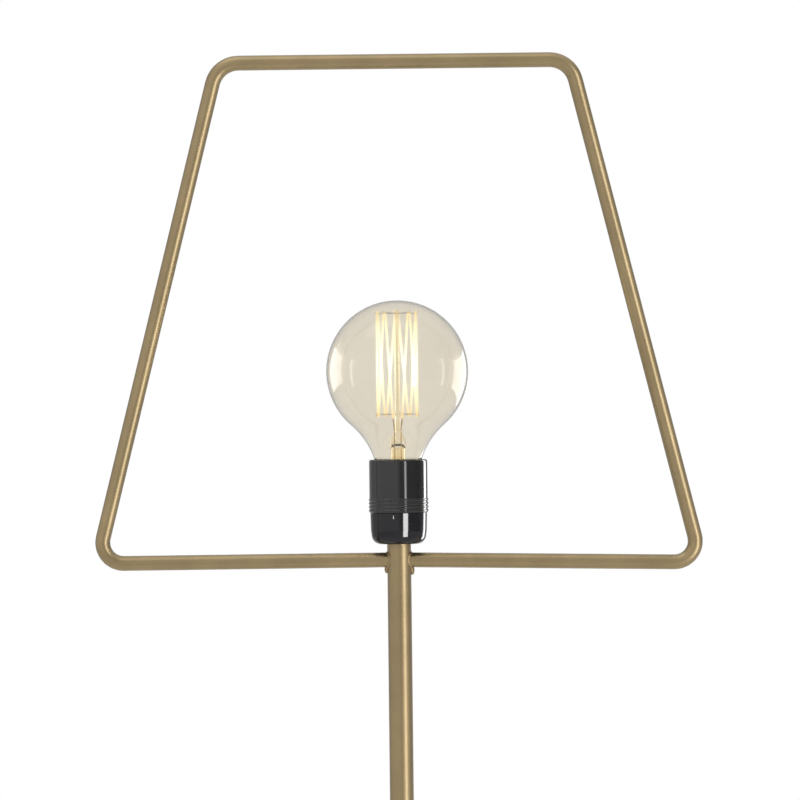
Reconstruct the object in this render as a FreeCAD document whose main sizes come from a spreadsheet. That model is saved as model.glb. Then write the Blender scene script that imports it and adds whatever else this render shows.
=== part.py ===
"""Floor lamp whose shade is only drawn: one bent rod in the outline of a lampshade.

The rod is welded to a slim pole that stands on a round plate.  An open lampholder on the
pole carries a large globe bulb with a cage filament.  Millimetres, +Z up.  The origin is
on the floor under the pole's axis, the outline lies in the XZ plane and the front is -Y.
"""
import FreeCAD, Part
import math
import os
import Sketcher

Vector = FreeCAD.Vector
UP = Vector(0, 0, 1)
doc = FreeCAD.newDocument("lamp")

# ---------------------------------------------------------------- driving dimensions
SIZES = [
    ("rod_diameter", 10, "bent rod of the shade outline"),
    ("outline_bottom_half", 202.5, "pole axis to the sharp lower corner, rod centreline"),
    ("outline_top_half", 118.2, "pole axis to the sharp upper corner, rod centreline"),
    ("outline_height", 333.9, "lower to upper centreline"),
    ("outline_level", 1160, "floor to the lower centreline at the pole"),
    ("lower_bend", 14, "centreline radius of the two lower bends"),
    ("upper_bend", 18, "centreline radius of the two upper bends"),
    ("left_sag", 0.5, "droop of the left half of the lower bar at its corner"),
    ("right_sag", 3.8, "droop of the right half of the lower bar at its corner"),
    ("rod_end_gap", 1, "space between the rod's two ends inside the pole, before saddling"),
    ("pole_diameter", 16, "outside of the pole"),
    ("pole_wall", 1.5, "wall of the pole"),
    ("pole_rise", 10.7, "pole's top above the lower centreline"),
    ("bead_reach", 4, "half length of a weld bead along the rod"),
    ("bead_half_depth", 6.8, "half size of a weld bead front to back"),
    ("bead_half_height", 7.6, "half size of a weld bead up and down"),
    ("bead_drop", 1.5, "weld bead's centre below the rod's centreline"),
    ("bead_bite", 0.8, "weld bead's centre inside the pole's surface"),
    ("plate_diameter", 280, "round base plate"),
    ("plate_thickness", 8, "base plate"),
    ("plate_round", 1.5, "rounding of the plate's upper edge"),
    ("plate_break", 0.8, "bevel of the plate's lower edge"),
    ("foot_diameter", 20, "round floor pad"),
    ("foot_height", 3, "floor pad"),
    ("foot_circle", 240, "diameter of the circle that the floor pads lie on"),
    ("foot_count", 4, "number of floor pads"),
    ("bolt_diameter", 8, "bolt through the plate into the pole's foot"),
    ("bolt_length", 22, "bolt's shank under its head"),
    ("bolt_head_rim", 3, "button head beyond its shank, all round"),
    ("bolt_head_height", 4.4, "button head"),
    ("bolt_key", 5, "hexagon socket across flats"),
    ("bolt_key_depth", 2.6, "depth of the hexagon socket"),
    ("bolt_clearance", 0.2, "radial room round the bolt in the plate and the washer"),
    ("washer_rim", 1, "washer beyond the bolt head, all round"),
    ("washer_thickness", 1.6, "washer under the bolt head"),
    ("counterbore_room", 2, "recess under the plate beyond the washer, all round"),
    ("counterbore_depth", 4.5, "recess under the plate for the bolt head"),
    ("plug_length", 20, "threaded plug in the pole's foot"),
    ("fit_gap", 0.05, "radial gap of a pressed, screwed or glued fit"),
    ("grommet_level", 45, "floor to the axis of the cable hole"),
    ("lead_room", 0.2, "radial room for the lead in the cable bush"),
    ("grommet_wall", 1.2, "wall of the cable bush in its hole"),
    ("grommet_flange_rim", 1.8, "bush's outer flange beyond its hole, all round"),
    ("grommet_lip_rim", 0.7, "bush's inner lip beyond its hole, all round"),
    ("grommet_stand", 1.5, "outer flange's face beyond the pole's surface"),
    ("grommet_inset", 2.9, "inner lip's face inside the pole's bore surface"),
    ("bush_length", 14, "threaded bush in the pole's top"),
    ("nipple_diameter", 10, "hollow threaded nipple between pole and lampholder"),
    ("nipple_wall", 1, "wall of the nipple"),
    ("nipple_above", 8, "nipple above the pole's top"),
    ("nipple_below", 13, "nipple below the pole's top"),
    ("dome_draft", 0.3, "dome's side turns in by this, from the joint to its waist"),
    ("dome_waist_level", 9, "height where the dome's side turns in"),
    ("dome_foot_draft", 1.6, "dome's sharp lower corner inside its side at the joint"),
    ("dome_round", 6, "rounding of the dome's lower edge"),
    ("dome_side_round", 20, "rounding where the dome's side turns in"),
    ("dome_wall", 1.9, "dome round the skirt's spigot"),
    ("dome_step", 2, "ledge in the dome that carries the insulator"),
    ("dome_floor", 3, "floor of the dome"),
    ("insert_neck_wall", 1.5, "wall of the threaded insert in the dome's floor"),
    ("joint_gap", 0.3, "shadow gap between dome and skirt"),
    ("notch_width", 3.6, "oval recess beside the joint"),
    ("notch_height", 4.4, "oval recess beside the joint"),
    ("notch_depth", 0.7, "oval recess beside the joint"),
    ("notch_drop", 2.8, "recess centre below the joint"),
    ("notch_side", 2.6, "recess centre left of the lamp's middle"),
    ("flange_rim", 1.5, "flange of the threaded insert beyond its upper part"),
    ("flange_thickness", 2, "flange of the threaded insert"),
    ("insert_wall", 2.45, "wall of the threaded insert above its flange"),
    ("insert_height", 4.6, "threaded insert above its flange"),
    ("grub_diameter", 3, "grub screw that locks the nipple"),
    ("insulator_room", 0.3, "radial room round the insulator's flange"),
    ("insulator_flange_height", 2.6, "insulator's flange"),
    ("insulator_inset", 0.7, "radial room between the insulator and the spigot"),
    ("insulator_height", 5.5, "whole insulator"),
    ("terminal_inner", 4, "lamp axis to the terminal's wire face"),
    ("terminal_length", 7, "terminal outwards"),
    ("terminal_width", 6, "terminal front to back"),
    ("terminal_height", 4.5, "terminal below the insulator"),
    ("terminal_room", 0.4, "terminals above the threaded insert"),
    ("terminal_bore", 2.4, "wire hole of a terminal"),
    ("terminal_bore_drop", 2.4, "wire hole's axis below the insulator"),
    ("terminal_screw_diameter", 2.5, "terminal screw"),
    ("terminal_screw_head", 3.6, "terminal screw's head"),
    ("terminal_screw_head_height", 1.7, "terminal screw's head"),
    ("terminal_screw_spot", 9.4, "lamp axis to a terminal screw"),
    ("screw_slot", 0.7, "slot width in a screw head"),
    ("rivet_diameter", 2, "contact rivets"),
    ("rivet_head", 3.2, "head of a contact rivet"),
    ("rivet_head_height", 0.7, "head of a contact rivet"),
    ("centre_rivet_spot", 5, "lamp axis to the centre contact's rivet"),
    ("shell_rivet_spot", 9, "lamp axis to the screw shell's rivet"),
    ("contact_thickness", 0.5, "sheet of the centre contact"),
    ("contact_width", 4, "centre contact front to back"),
    ("contact_reach", 6.8, "lamp axis to the outer end of the centre contact's foot"),
    ("contact_crest", 1.4, "half length of the centre contact's flat crest"),
    ("contact_gap", 0.15, "bulb's tip above the centre contact's crest"),
    ("shell_room", 0.55, "screw shell's sheet outside the bulb's thread crest"),
    ("thread_clearance", 0.45, "shell's thread crest outside the bulb's thread root"),
    ("shell_sheet", 0.6, "sheet of the screw shell"),
    ("shell_lip", 1.2, "screw shell above its thread"),
    ("shell_floor_hole", 15, "hole in the screw shell's floor"),
    ("thread_pitch", 3.629, "rise of the lamp thread per turn"),
    ("thread_round", 2.2, "diameter of the rounded thread ridge's section"),
    ("cap_thread_height", 0.95, "bulb's thread ridge outside its root"),
    ("thread_lead", 1.5, "bulb's thread above the cap's lower taper"),
    ("cap_thread_turns", 4, "turns of the bulb's thread"),
    ("shell_thread_turns", 5, "turns of the screw shell's thread"),
    ("skirt_height", 35.4, "upper half of the lampholder"),
    ("skirt_overhang", 0.5, "skirt outside the dome"),
    ("skirt_wall", 2.5, "skirt"),
    ("rim_round", 2, "rounding of the skirt's outer rim"),
    ("skirt_step", 1.4, "ring that joins the skirt to its spigot"),
    ("spigot_room", 1, "radial room between the screw shell and the spigot"),
    ("spigot_wall", 1.8, "skirt's spigot"),
    ("spigot_gap", 0.1, "radial gap between the spigot and the dome"),
    ("spigot_length", 4, "joint above the insulator's flange"),
    ("ridge_count", 4, "grip ridges round the skirt"),
    ("ridge_pitch", 2.4, "grip ridge spacing"),
    ("ridge_height", 0.5, "grip ridge"),
    ("ridge_start", 1.3, "lowest ridge above the joint"),
    ("lead_diameter", 5.6, "sheathed lead in the pole"),
    ("lead_bend", 6, "bend of the lead behind the cable bush"),
    ("lead_straight", 60, "lead's straight stretch below the lampholder"),
    ("lead_ease", 900, "radius where the lead straightens to the pole's axis"),
    ("lead_wall_gap", 0.5, "lead to the front of the pole's bore at the foot"),
    ("core_diameter", 2.2, "insulated core of the lead"),
    ("core_bend", 2.4, "bend of a core into its terminal"),
    ("core_spread", 1.3, "core axis beside the lamp's axis"),
    ("sheath_end", 6.2, "sheath's end above the pole's top"),
    ("ferrule_diameter", 1.9, "wire ferrule in a terminal"),
    ("ferrule_length", 2.6, "wire ferrule"),
    ("contact_rise", 2.9, "bulb's tip above the insulator"),
    ("neck_level", 17.53, "tip to the level where the neck's curve stands upright"),
    ("globe_diameter", 95, "globe of the bulb"),
    ("glass_wall", 0.9, "bulb glass"),
    ("neck_overlap", 0.1, "least neck radius beyond the cap's collar"),
    ("neck_curve", 52, "radius of the neck's hollow curve"),
    ("thread_runout", 0.1, "cap above its thread"),
    ("cap_root", 24.2, "cap between its thread ridges"),
    ("cap_sheet", 0.5, "sheet of the cap"),
    ("cap_flare", 1.1, "cap's collar outside its root"),
    ("cap_collar_height", 2.6, "cap's collar"),
    ("cap_taper", 1.5, "cap's lower edge inside its root"),
    ("tip_diameter", 9.4, "solder contact"),
    ("tip_height", 1.1, "solder contact"),
    ("cap_foot_level", 4.1, "tip to the cap's lower edge"),
    ("neck_shoulder", 1.6, "height of the glass shoulder that enters the cap"),
    ("neck_entry_gap", 0.4, "radial room for cement between glass and cap"),
    ("neck_entry_depth", 2, "glass inside the cap's collar"),
    ("stem_tube", 10, "glass tube of the stem"),
    ("stem_wall", 0.8, "wall of the stem's tube"),
    ("pinch_low", 41.2, "tip to the underside of the pinch"),
    ("pinch_height", 10.8, "pinch of the stem"),
    ("pinch_depth", 3.6, "pinch front to back"),
    ("pinch_width", 10.4, "pinch at its widest"),
    ("pinch_top_width", 5.4, "pinch at its top"),
    ("pinch_widest", 3.8, "pinch's widest level above its underside"),
    ("exhaust_hole", 2, "hole blown through the pinch"),
    ("exhaust_side", 3.4, "hole's axis right of the lamp's middle"),
    ("arbor_diameter", 3.4, "glass rod in the middle of the cage"),
    ("hub_diameter", 4.8, "glass buttons that hold the hooks"),
    ("hub_height", 2.4, "glass buttons that hold the hooks"),
    ("cage_low", 63.9, "tip to the lower hooks"),
    ("cage_high", 131.6, "tip to the upper hooks"),
    ("cage_diameter", 27.6, "circle that the filament stands on"),
    ("hook_count", 5, "upper hooks of the filament cage"),
    ("hook_wire", 0.4, "hook wire"),
    ("hook_bite", 1, "hook wire inside its glass button"),
    ("hook_overhang", 1.1, "hook beyond the filament"),
    ("hook_tail", 1.4, "turned-up end of a hook"),
    ("hook_bend", 0.5, "bend of a hook's end"),
    ("filament_wire", 0.6, "coiled filament"),
    ("filament_bend", 0.8, "filament's bend round a hook"),
    ("end_spread", 3.1, "filament ends left and right of the lamp's middle"),
    ("end_drop", 2.7, "filament ends below the lower hooks"),
    ("support_wire", 0.8, "lead-in wires of the bulb"),
    ("support_spread", 2.2, "lead-in wires in the pinch, beside the axis"),
    ("support_bend", 3, "bends of the lead-in wires"),
]

sheet = doc.addObject("Spreadsheet::Sheet", "sizes")
for row, (alias, size, meaning) in enumerate(SIZES, start=1):
    sheet.set("A%d" % row, alias)
    sheet.set("B%d" % row, str(size))
    sheet.setAlias("B%d" % row, alias)
    sheet.set("C%d" % row, meaning)
doc.recompute()

# Heights that several pieces share, written once as expressions of the sheet.
PLATE_LOW = "sizes.foot_height"
PLATE_TOP = "(sizes.foot_height + sizes.plate_thickness)"
POLE_TOP = "(sizes.outline_level + sizes.pole_rise)"
LEDGE = ("(sizes.dome_floor + sizes.flange_thickness + sizes.insert_height"
         " + sizes.terminal_room + sizes.terminal_height)")
JOINT = "(%s + sizes.insulator_flange_height + sizes.spigot_length)" % LEDGE
RIM = "(%s + sizes.skirt_height)" % JOINT
INSULATOR_TOP = "(%s + sizes.insulator_height)" % LEDGE
SEAT = "(%s + sizes.contact_rise)" % INSULATOR_TOP
BULB_TIP = "(%s + %s)" % (POLE_TOP, SEAT)

# Levels in the bulb, from its tip.
THREAD_START = "(sizes.cap_foot_level + sizes.cap_taper + sizes.thread_lead)"
THREAD_END = ("(%s + sizes.cap_thread_turns * sizes.thread_pitch + sizes.thread_round / 2)"
              % THREAD_START)
COLLAR_LOW = "(%s + sizes.thread_runout + sizes.cap_flare)" % THREAD_END
CAP_TOP = "(%s + sizes.cap_collar_height)" % COLLAR_LOW

# Radii that nest: pole, bolt and bush, then from the bulb's cap outward to the skirt.
POLE_BORE = "(sizes.pole_diameter - 2 * sizes.pole_wall)"
NIPPLE_BORE = "(sizes.nipple_diameter - 2 * sizes.nipple_wall)"
BOLT_HEAD = "(sizes.bolt_diameter + 2 * sizes.bolt_head_rim)"
WASHER = "(%s + 2 * sizes.washer_rim)" % BOLT_HEAD
COUNTERBORE = "(%s + 2 * sizes.counterbore_room)" % WASHER
BUSH_BORE = "(sizes.lead_diameter + 2 * sizes.lead_room)"
CABLE_HOLE = "(%s + 2 * sizes.grommet_wall)" % BUSH_BORE
BUSH_FLANGE = "(%s + 2 * sizes.grommet_flange_rim)" % CABLE_HOLE
BUSH_LIP = "(%s + 2 * sizes.grommet_lip_rim)" % CABLE_HOLE
INSERT_BORE_HALF = "(sizes.nipple_diameter / 2 + sizes.fit_gap)"
INSERT_NECK_HALF = "(%s + sizes.insert_neck_wall)" % INSERT_BORE_HALF
INSERT_HALF = "(%s + sizes.insert_wall)" % INSERT_BORE_HALF
INSERT_FLANGE_HALF = "(%s + sizes.flange_rim)" % INSERT_HALF
DOME_HOLE_HALF = "(%s + sizes.fit_gap)" % INSERT_NECK_HALF
CAP_HALF = "(sizes.cap_root / 2)"
CAP_FOOT_HALF = "(%s - sizes.cap_taper)" % CAP_HALF
CAP_CREST_HALF = "(%s + sizes.cap_thread_height)" % CAP_HALF
COLLAR_HALF = "(%s + sizes.cap_flare)" % CAP_HALF
SHELL_CREST_HALF = "(%s + sizes.thread_clearance)" % CAP_HALF
SHELL_HALF = "(%s + sizes.shell_room + sizes.shell_sheet)" % CAP_CREST_HALF
SPIGOT_BORE_HALF = "(%s + sizes.spigot_room)" % SHELL_HALF
SPIGOT_HALF = "(%s + sizes.spigot_wall)" % SPIGOT_BORE_HALF
DOME_BORE_HALF = "(%s + sizes.spigot_gap)" % SPIGOT_HALF
DOME_HALF = "(%s + sizes.dome_wall)" % DOME_BORE_HALF
SKIRT_HALF = "(%s + sizes.skirt_overhang)" % DOME_HALF
NECK_ENTRY_HALF = "(%s - sizes.cap_sheet - sizes.neck_entry_gap)" % COLLAR_HALF

pieces = []


# ---------------------------------------------------------------- helpers
def size(text):
    """number that an expression of the sheet gives"""
    return float(sheet.evalExpression(text.replace("sizes.", "")))


def new_body(label, level="0"):
    """empty body of one piece, lifted to its level"""
    body = doc.addObject("PartDesign::Body", label)
    body.Label = label
    body.setExpression("Placement.Base.z", level)
    pieces.append(body)
    return body


def new_sketch(body, name, role="XZ_Plane"):
    """sketch on one of the body's own origin planes"""
    sketch = body.newObject("Sketcher::SketchObject", name)
    planes = [item for item in body.Origin.OriginFeatures if item.Role == role]
    sketch.AttachmentSupport = [(planes[0], "")]
    sketch.MapMode = "FlatFace"
    return sketch


def rule(sketch, kind, text, *targets):
    """constraint whose value is an expression of the sheet"""
    index = sketch.addConstraint(Sketcher.Constraint(kind, *targets, size(text)))
    sketch.setExpression("Constraints[%d]" % index, text)


def hold(sketch, item, end, across, along):
    """hold a point of the sketch at two expressions"""
    for kind, axis, text in (("DistanceX", -2, across), ("DistanceY", -1, along)):
        if text == "0":
            sketch.addConstraint(Sketcher.Constraint("PointOnObject", item, end, axis))
        else:
            rule(sketch, kind, text, -1, 1, item, end)


def outline(sketch, corners):
    """closed outline of straight edges through corners given as expressions"""
    spots = [Vector(size(across), size(along), 0) for across, along in corners]
    first = sketch.GeometryCount
    for start, end in zip(spots, spots[1:] + spots[:1]):
        sketch.addGeometry(Part.LineSegment(start, end))
    for step, (across, along) in enumerate(corners):
        following = first + (step + 1) % len(corners)
        sketch.addConstraint(Sketcher.Constraint("Coincident", first + step, 2, following, 1))
        hold(sketch, first + step, 1, across, along)


def circle(sketch, diameter, across="0", along="0"):
    """circle held by its centre and its diameter"""
    middle = Vector(size(across), size(along), 0)
    item = sketch.addGeometry(Part.Circle(middle, UP, size(diameter) / 2))
    hold(sketch, item, 3, across, along)
    rule(sketch, "Diameter", diameter, item)
    return item


def pad(body, sketch, length, name="Pad"):
    """pad along the sketch's normal"""
    feature = body.newObject("PartDesign::Pad", name)
    feature.Profile = sketch
    feature.setExpression("Length", length)
    doc.recompute()
    return feature


def revolve(body, sketch, kind="Revolution"):
    """full turn round the sketch's upright axis, adding or cutting"""
    feature = body.newObject("PartDesign::" + kind, kind)
    feature.Profile = sketch
    feature.ReferenceAxis = (sketch, ["V_Axis"])
    feature.Angle = 360
    doc.recompute()
    return feature


def cut(body, sketch, name, both=True, back=False, depth=None):
    """pocket that must take something away"""
    before = body.Shape.Volume
    feature = body.newObject("PartDesign::Pocket", name)
    feature.Profile = sketch
    feature.Midplane = both
    feature.Reversed = back
    if depth is None:
        feature.Type = "ThroughAll"
    else:
        feature.setExpression("Length", depth)
    doc.recompute()
    if not body.Shape.Volume < before:
        raise RuntimeError("%s of %s cuts nothing" % (name, body.Label))
    return feature


def soften(body, base, kind, amount, chosen, name):
    """fillet or chamfer on the circular edges that lie at the chosen radius and height"""
    radius, height = chosen
    names = []
    for number, edge in enumerate(base.Shape.Edges, start=1):
        if not isinstance(edge.Curve, Part.Circle):
            continue
        near_radius = abs(edge.Curve.Radius - size(radius)) < 1e-4
        near_height = abs(edge.Curve.Center.z - size(height)) < 1e-4
        if near_radius and near_height:
            names.append("Edge%d" % number)
    if not names:
        raise RuntimeError("%s of %s finds no edge" % (name, body.Label))
    feature = body.newObject("PartDesign::" + kind, name)
    feature.Base = (base, names)
    feature.setExpression("Radius" if kind == "Fillet" else "Size", amount)
    doc.recompute()
    return feature


def helical_ridge(body, side, crest, root, level, turns, name):
    """rounded thread ridge on a sheet; side 1 stands outward and -1 inward"""
    centre = "(%s - %d * sizes.thread_round / 2)" % (crest, side)
    spread = math.acos(size("2 * (%s - %s) / sizes.thread_round" % (root, centre)))
    sketch = new_sketch(body, name + "Section")
    low, high = (-spread, spread) if side > 0 else (spread, 2 * math.pi - spread)
    middle = Vector(size(centre), size(level), 0)
    round_edge = Part.Circle(middle, UP, size("sizes.thread_round / 2"))
    crown = sketch.addGeometry(Part.ArcOfCircle(round_edge, low, high))
    ends = (sketch.Geometry[crown].EndPoint, sketch.Geometry[crown].StartPoint)
    flat = sketch.addGeometry(Part.LineSegment(*ends))
    hold(sketch, crown, 3, centre, level)
    rule(sketch, "Diameter", "sizes.thread_round", crown)
    sketch.addConstraint(Sketcher.Constraint("Coincident", crown, 2, flat, 1))
    sketch.addConstraint(Sketcher.Constraint("Coincident", crown, 1, flat, 2))
    rule(sketch, "DistanceX", root, -1, 1, flat, 1)
    rule(sketch, "DistanceX", root, -1, 1, flat, 2)
    doc.recompute()
    before = body.Shape.Volume
    feature = body.newObject("PartDesign::AdditiveHelix", name)
    feature.Profile = sketch
    feature.ReferenceAxis = (sketch, ["V_Axis"])
    feature.Mode = 0
    feature.setExpression("Pitch", "sizes.thread_pitch")
    feature.setExpression("Height", "sizes.thread_pitch * " + turns)
    feature.LeftHanded = False
    doc.recompute()
    if not body.Shape.Volume > before:
        raise RuntimeError("%s of %s adds nothing" % (name, body.Label))
    return feature


def primitive(kind, name, level, **lengths):
    """solid primitive whose lengths are expressions of the sheet"""
    item = doc.addObject("Part::" + kind, name)
    for field, text in lengths.items():
        item.setExpression(field, text)
    item.setExpression("Placement.Base.z", level)
    return item


def lying_cylinder(name, diameter, start, end, level):
    """cylinder along +Y at a level, between two distances from the lamp's axis"""
    item = primitive("Cylinder", name, level, Radius="(%s) / 2" % diameter,
                     Height="(%s) - (%s)" % (end, start))
    item.Placement.Rotation = FreeCAD.Rotation(Vector(1, 0, 0), -90)
    item.setExpression("Placement.Base.y", start)
    return item


def subtract(label, base, tool):
    """boolean cut of two objects"""
    item = doc.addObject("Part::Cut", label)
    item.Label = label
    item.Base = base
    item.Tool = tool
    return item


def place(label, shape, level):
    """piece whose shape is worked out in code, placed at its level afterwards"""
    item = doc.addObject("Part::Feature", label)
    item.Label = label
    item.Shape = shape
    item.Placement = FreeCAD.Placement(Vector(0, 0, size(level)), FreeCAD.Rotation())
    pieces.append(item)
    return item


def route(points, bends):
    """path of straight runs joined by tangent arcs, with one bend radius per inner point"""
    edges = []
    here = points[0]
    for before, corner, after, bend in zip(points, points[1:], points[2:], bends):
        back = (before - corner).normalize()
        ahead = (after - corner).normalize()
        half = back.getAngle(ahead) / 2
        reach = bend / math.tan(half)
        centre = corner + (back + ahead).normalize() * (bend / math.sin(half))
        middle = centre + (corner - centre).normalize() * bend
        start = corner + back * reach
        end = corner + ahead * reach
        edges.append(Part.LineSegment(here, start).toShape())
        edges.append(Part.Arc(start, middle, end).toShape())
        here = end
    edges.append(Part.LineSegment(here, points[-1]).toShape())
    return Part.Wire(edges)


def round_wire(path, diameter):
    """solid round wire along a path, checked against its section times its length"""
    start = path.Edges[0].valueAt(path.Edges[0].FirstParameter)
    heading = path.Edges[0].tangentAt(path.Edges[0].FirstParameter)
    ring = Part.Wire(Part.makeCircle(diameter / 2, start, heading))
    solid = path.makePipeShell([ring], True, False)
    expected = math.pi * diameter ** 2 / 4 * path.Length
    if abs(solid.Volume / expected - 1) > 0.002:
        raise RuntimeError("a wire's volume is %.1f, not %.1f" % (solid.Volume, expected))
    return solid


def polar(radius, degrees, height):
    """point on a circle round the lamp's axis; 0 degrees is the front, left is negative"""
    turn = math.radians(degrees)
    return Vector(radius * math.sin(turn), -radius * math.cos(turn), height)


# ---------------------------------------------------------------- shade outline
def make_shade_frame():
    """one rod bent to a lampshade's outline, its two ends saddled against the pole"""
    body = new_body("shade_frame", "sizes.outline_level")
    spine = new_sketch(body, "Centreline")
    corners = [
        ("-sizes.outline_bottom_half", "-sizes.left_sag", "sizes.lower_bend"),
        ("-sizes.outline_top_half", "sizes.outline_height", "sizes.upper_bend"),
        ("sizes.outline_top_half", "sizes.outline_height", "sizes.upper_bend"),
        ("sizes.outline_bottom_half", "-sizes.right_sag", "sizes.lower_bend"),
    ]
    last_drop = "-sizes.right_sag * sizes.rod_end_gap / sizes.outline_bottom_half"
    spots = [Vector(size(across), size(along), 0) for across, along, bend in corners]
    spots = [Vector(0, 0, 0)] + spots + [Vector(size("sizes.rod_end_gap"), size(last_drop), 0)]
    path = route(spots, [size(bend) for across, along, bend in corners])
    # The rod is followed clockwise and a sketch arc runs the other way, so each arc is drawn
    # from its far end: the rod enters it at its second point and leaves it at its first.
    enters, leaves = [], []
    for edge in path.Edges:
        near = edge.firstVertex(True).Point
        far = edge.lastVertex(True).Point
        bent = isinstance(edge.Curve, Part.Circle)
        if bent:
            middle = edge.valueAt((edge.FirstParameter + edge.LastParameter) / 2)
            spine.addGeometry(Part.Arc(far, middle, near))
        else:
            spine.addGeometry(Part.LineSegment(near, far))
        enters.append(2 if bent else 1)
        leaves.append(1 if bent else 2)
    for item in range(len(path.Edges) - 1):
        spine.addConstraint(Sketcher.Constraint("Tangent", item, leaves[item],
                                                item + 1, enters[item + 1]))
    for number, (across, along, bend) in enumerate(corners):
        rule(spine, "Radius", bend, 2 * number + 1)
        corner = spine.addGeometry(Part.Point(spots[number + 1]), True)
        hold(spine, corner, 1, across, along)
        for run in (2 * number, 2 * number + 2):
            spine.addConstraint(Sketcher.Constraint("PointOnObject", corner, 1, run))
    spine.addConstraint(Sketcher.Constraint("Coincident", 0, 1, -1, 1))
    hold(spine, len(path.Edges) - 1, 2, "sizes.rod_end_gap", last_drop)
    section = new_sketch(body, "Section", "YZ_Plane")
    circle(section, "sizes.rod_diameter")
    rod = body.newObject("PartDesign::AdditivePipe", "Rod")
    rod.Profile = section
    rod.Spine = spine
    doc.recompute()
    saddle = new_sketch(body, "Saddle", "XY_Plane")
    circle(saddle, "sizes.pole_diameter")
    cut(body, saddle, "PoleSaddle", depth="4 * sizes.rod_diameter")
    return body


# ---------------------------------------------------------------- pole
def make_pole_tube():
    """straight tube with one cable hole at the back of its foot"""
    body = new_body("pole_tube", PLATE_TOP)
    section = new_sketch(body, "Section", "XY_Plane")
    circle(section, "sizes.pole_diameter")
    circle(section, POLE_BORE)
    pad(body, section, "%s - %s" % (POLE_TOP, PLATE_TOP))
    hole = new_sketch(body, "CableHoleSketch")
    circle(hole, CABLE_HOLE, "0", "sizes.grommet_level - " + PLATE_TOP)
    cut(body, hole, "CableHole", both=False, back=False)
    wall_middle = Vector(0, size("(sizes.pole_diameter - sizes.pole_wall) / 2"),
                         size("sizes.grommet_level"))
    if body.Shape.isInside(wall_middle, 1e-6, True):
        raise RuntimeError("the cable hole isn't at the back")
    return body


def make_weld_bead(side, name, rod):
    """lump of weld round a rod end, fuller below, shaped by the rod and the pole"""
    level = "sizes.outline_level - sizes.bead_drop"
    lump = primitive("Ellipsoid", name + "_lump", level, Radius1="sizes.bead_half_height",
                     Radius2="sizes.bead_reach", Radius3="sizes.bead_half_depth")
    lump.setExpression("Placement.Base.x",
                       "%d * (sizes.pole_diameter / 2 - sizes.bead_bite)" % side)
    core = primitive("Cylinder", name + "_pole", "sizes.outline_level - 4 * sizes.rod_diameter",
                     Radius="sizes.pole_diameter / 2", Height="8 * sizes.rod_diameter")
    # Both seams face away from the bead, where they would run along each other.
    for item in (lump, core):
        item.Placement.Rotation = FreeCAD.Rotation(UP, 90 + 90 * side)
    ring = subtract(name + "_ring", lump, core)
    bead = subtract(name, ring, rod)
    pieces.append(bead)
    return bead


def make_pole_foot_plug():
    """threaded plug welded into the pole's foot"""
    body = new_body("pole_foot_plug", PLATE_TOP)
    section = new_sketch(body, "Section", "XY_Plane")
    circle(section, POLE_BORE + " - 2 * sizes.fit_gap")
    circle(section, "sizes.bolt_diameter + 2 * sizes.fit_gap")
    pad(body, section, "sizes.plug_length")
    return body


def make_pole_top_bush():
    """threaded bush pressed into the pole's top, flush with it"""
    body = new_body("pole_top_bush", POLE_TOP + " - sizes.bush_length")
    section = new_sketch(body, "Section", "XY_Plane")
    circle(section, POLE_BORE + " - 2 * sizes.fit_gap")
    circle(section, "sizes.nipple_diameter + 2 * sizes.fit_gap")
    pad(body, section, "sizes.bush_length")
    return body


def make_threaded_nipple():
    """hollow nipple that joins the lampholder to the pole and lets the lead through"""
    body = new_body("threaded_nipple", POLE_TOP + " - sizes.nipple_below")
    section = new_sketch(body, "Section", "XY_Plane")
    circle(section, "sizes.nipple_diameter")
    circle(section, NIPPLE_BORE)
    pad(body, section, "sizes.nipple_below + sizes.nipple_above")
    return body


def make_cable_grommet():
    """bush in the cable hole, its flange and lip saddled against the pole's wall"""
    bore_half = "(sizes.pole_diameter / 2 - sizes.pole_wall)"
    mouth = bore_half + " - sizes.grommet_inset"
    face = "sizes.pole_diameter / 2 + sizes.grommet_stand"
    level = "sizes.grommet_level"
    low = "sizes.grommet_level - " + BUSH_FLANGE
    tall = "2 * " + BUSH_FLANGE
    flange = lying_cylinder("grommet_flange_blank", BUSH_FLANGE, mouth, face, level)
    lip = lying_cylinder("grommet_lip_blank", BUSH_LIP, mouth, face, level)
    sleeve = lying_cylinder("grommet_sleeve", CABLE_HOLE + " - 2 * sizes.fit_gap",
                            mouth, face, level)
    bore = lying_cylinder("grommet_bore_tool", BUSH_BORE, "0", face + " + sizes.grommet_stand",
                          level)
    outside = primitive("Cylinder", "grommet_outside_tool", low, Height=tall,
                        Radius="sizes.pole_diameter / 2 + sizes.fit_gap")
    inside = primitive("Cylinder", "grommet_inside_tool", low, Height=tall,
                       Radius=bore_half + " - sizes.fit_gap")
    saddle = subtract("grommet_saddle", flange, outside)
    inner = doc.addObject("Part::Common", "grommet_inner")
    inner.Base = lip
    inner.Tool = inside
    blank = doc.addObject("Part::MultiFuse", "grommet_blank")
    blank.Shapes = [saddle, sleeve, inner]
    grommet = subtract("cable_grommet", blank, bore)
    pieces.append(grommet)
    return grommet


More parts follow.
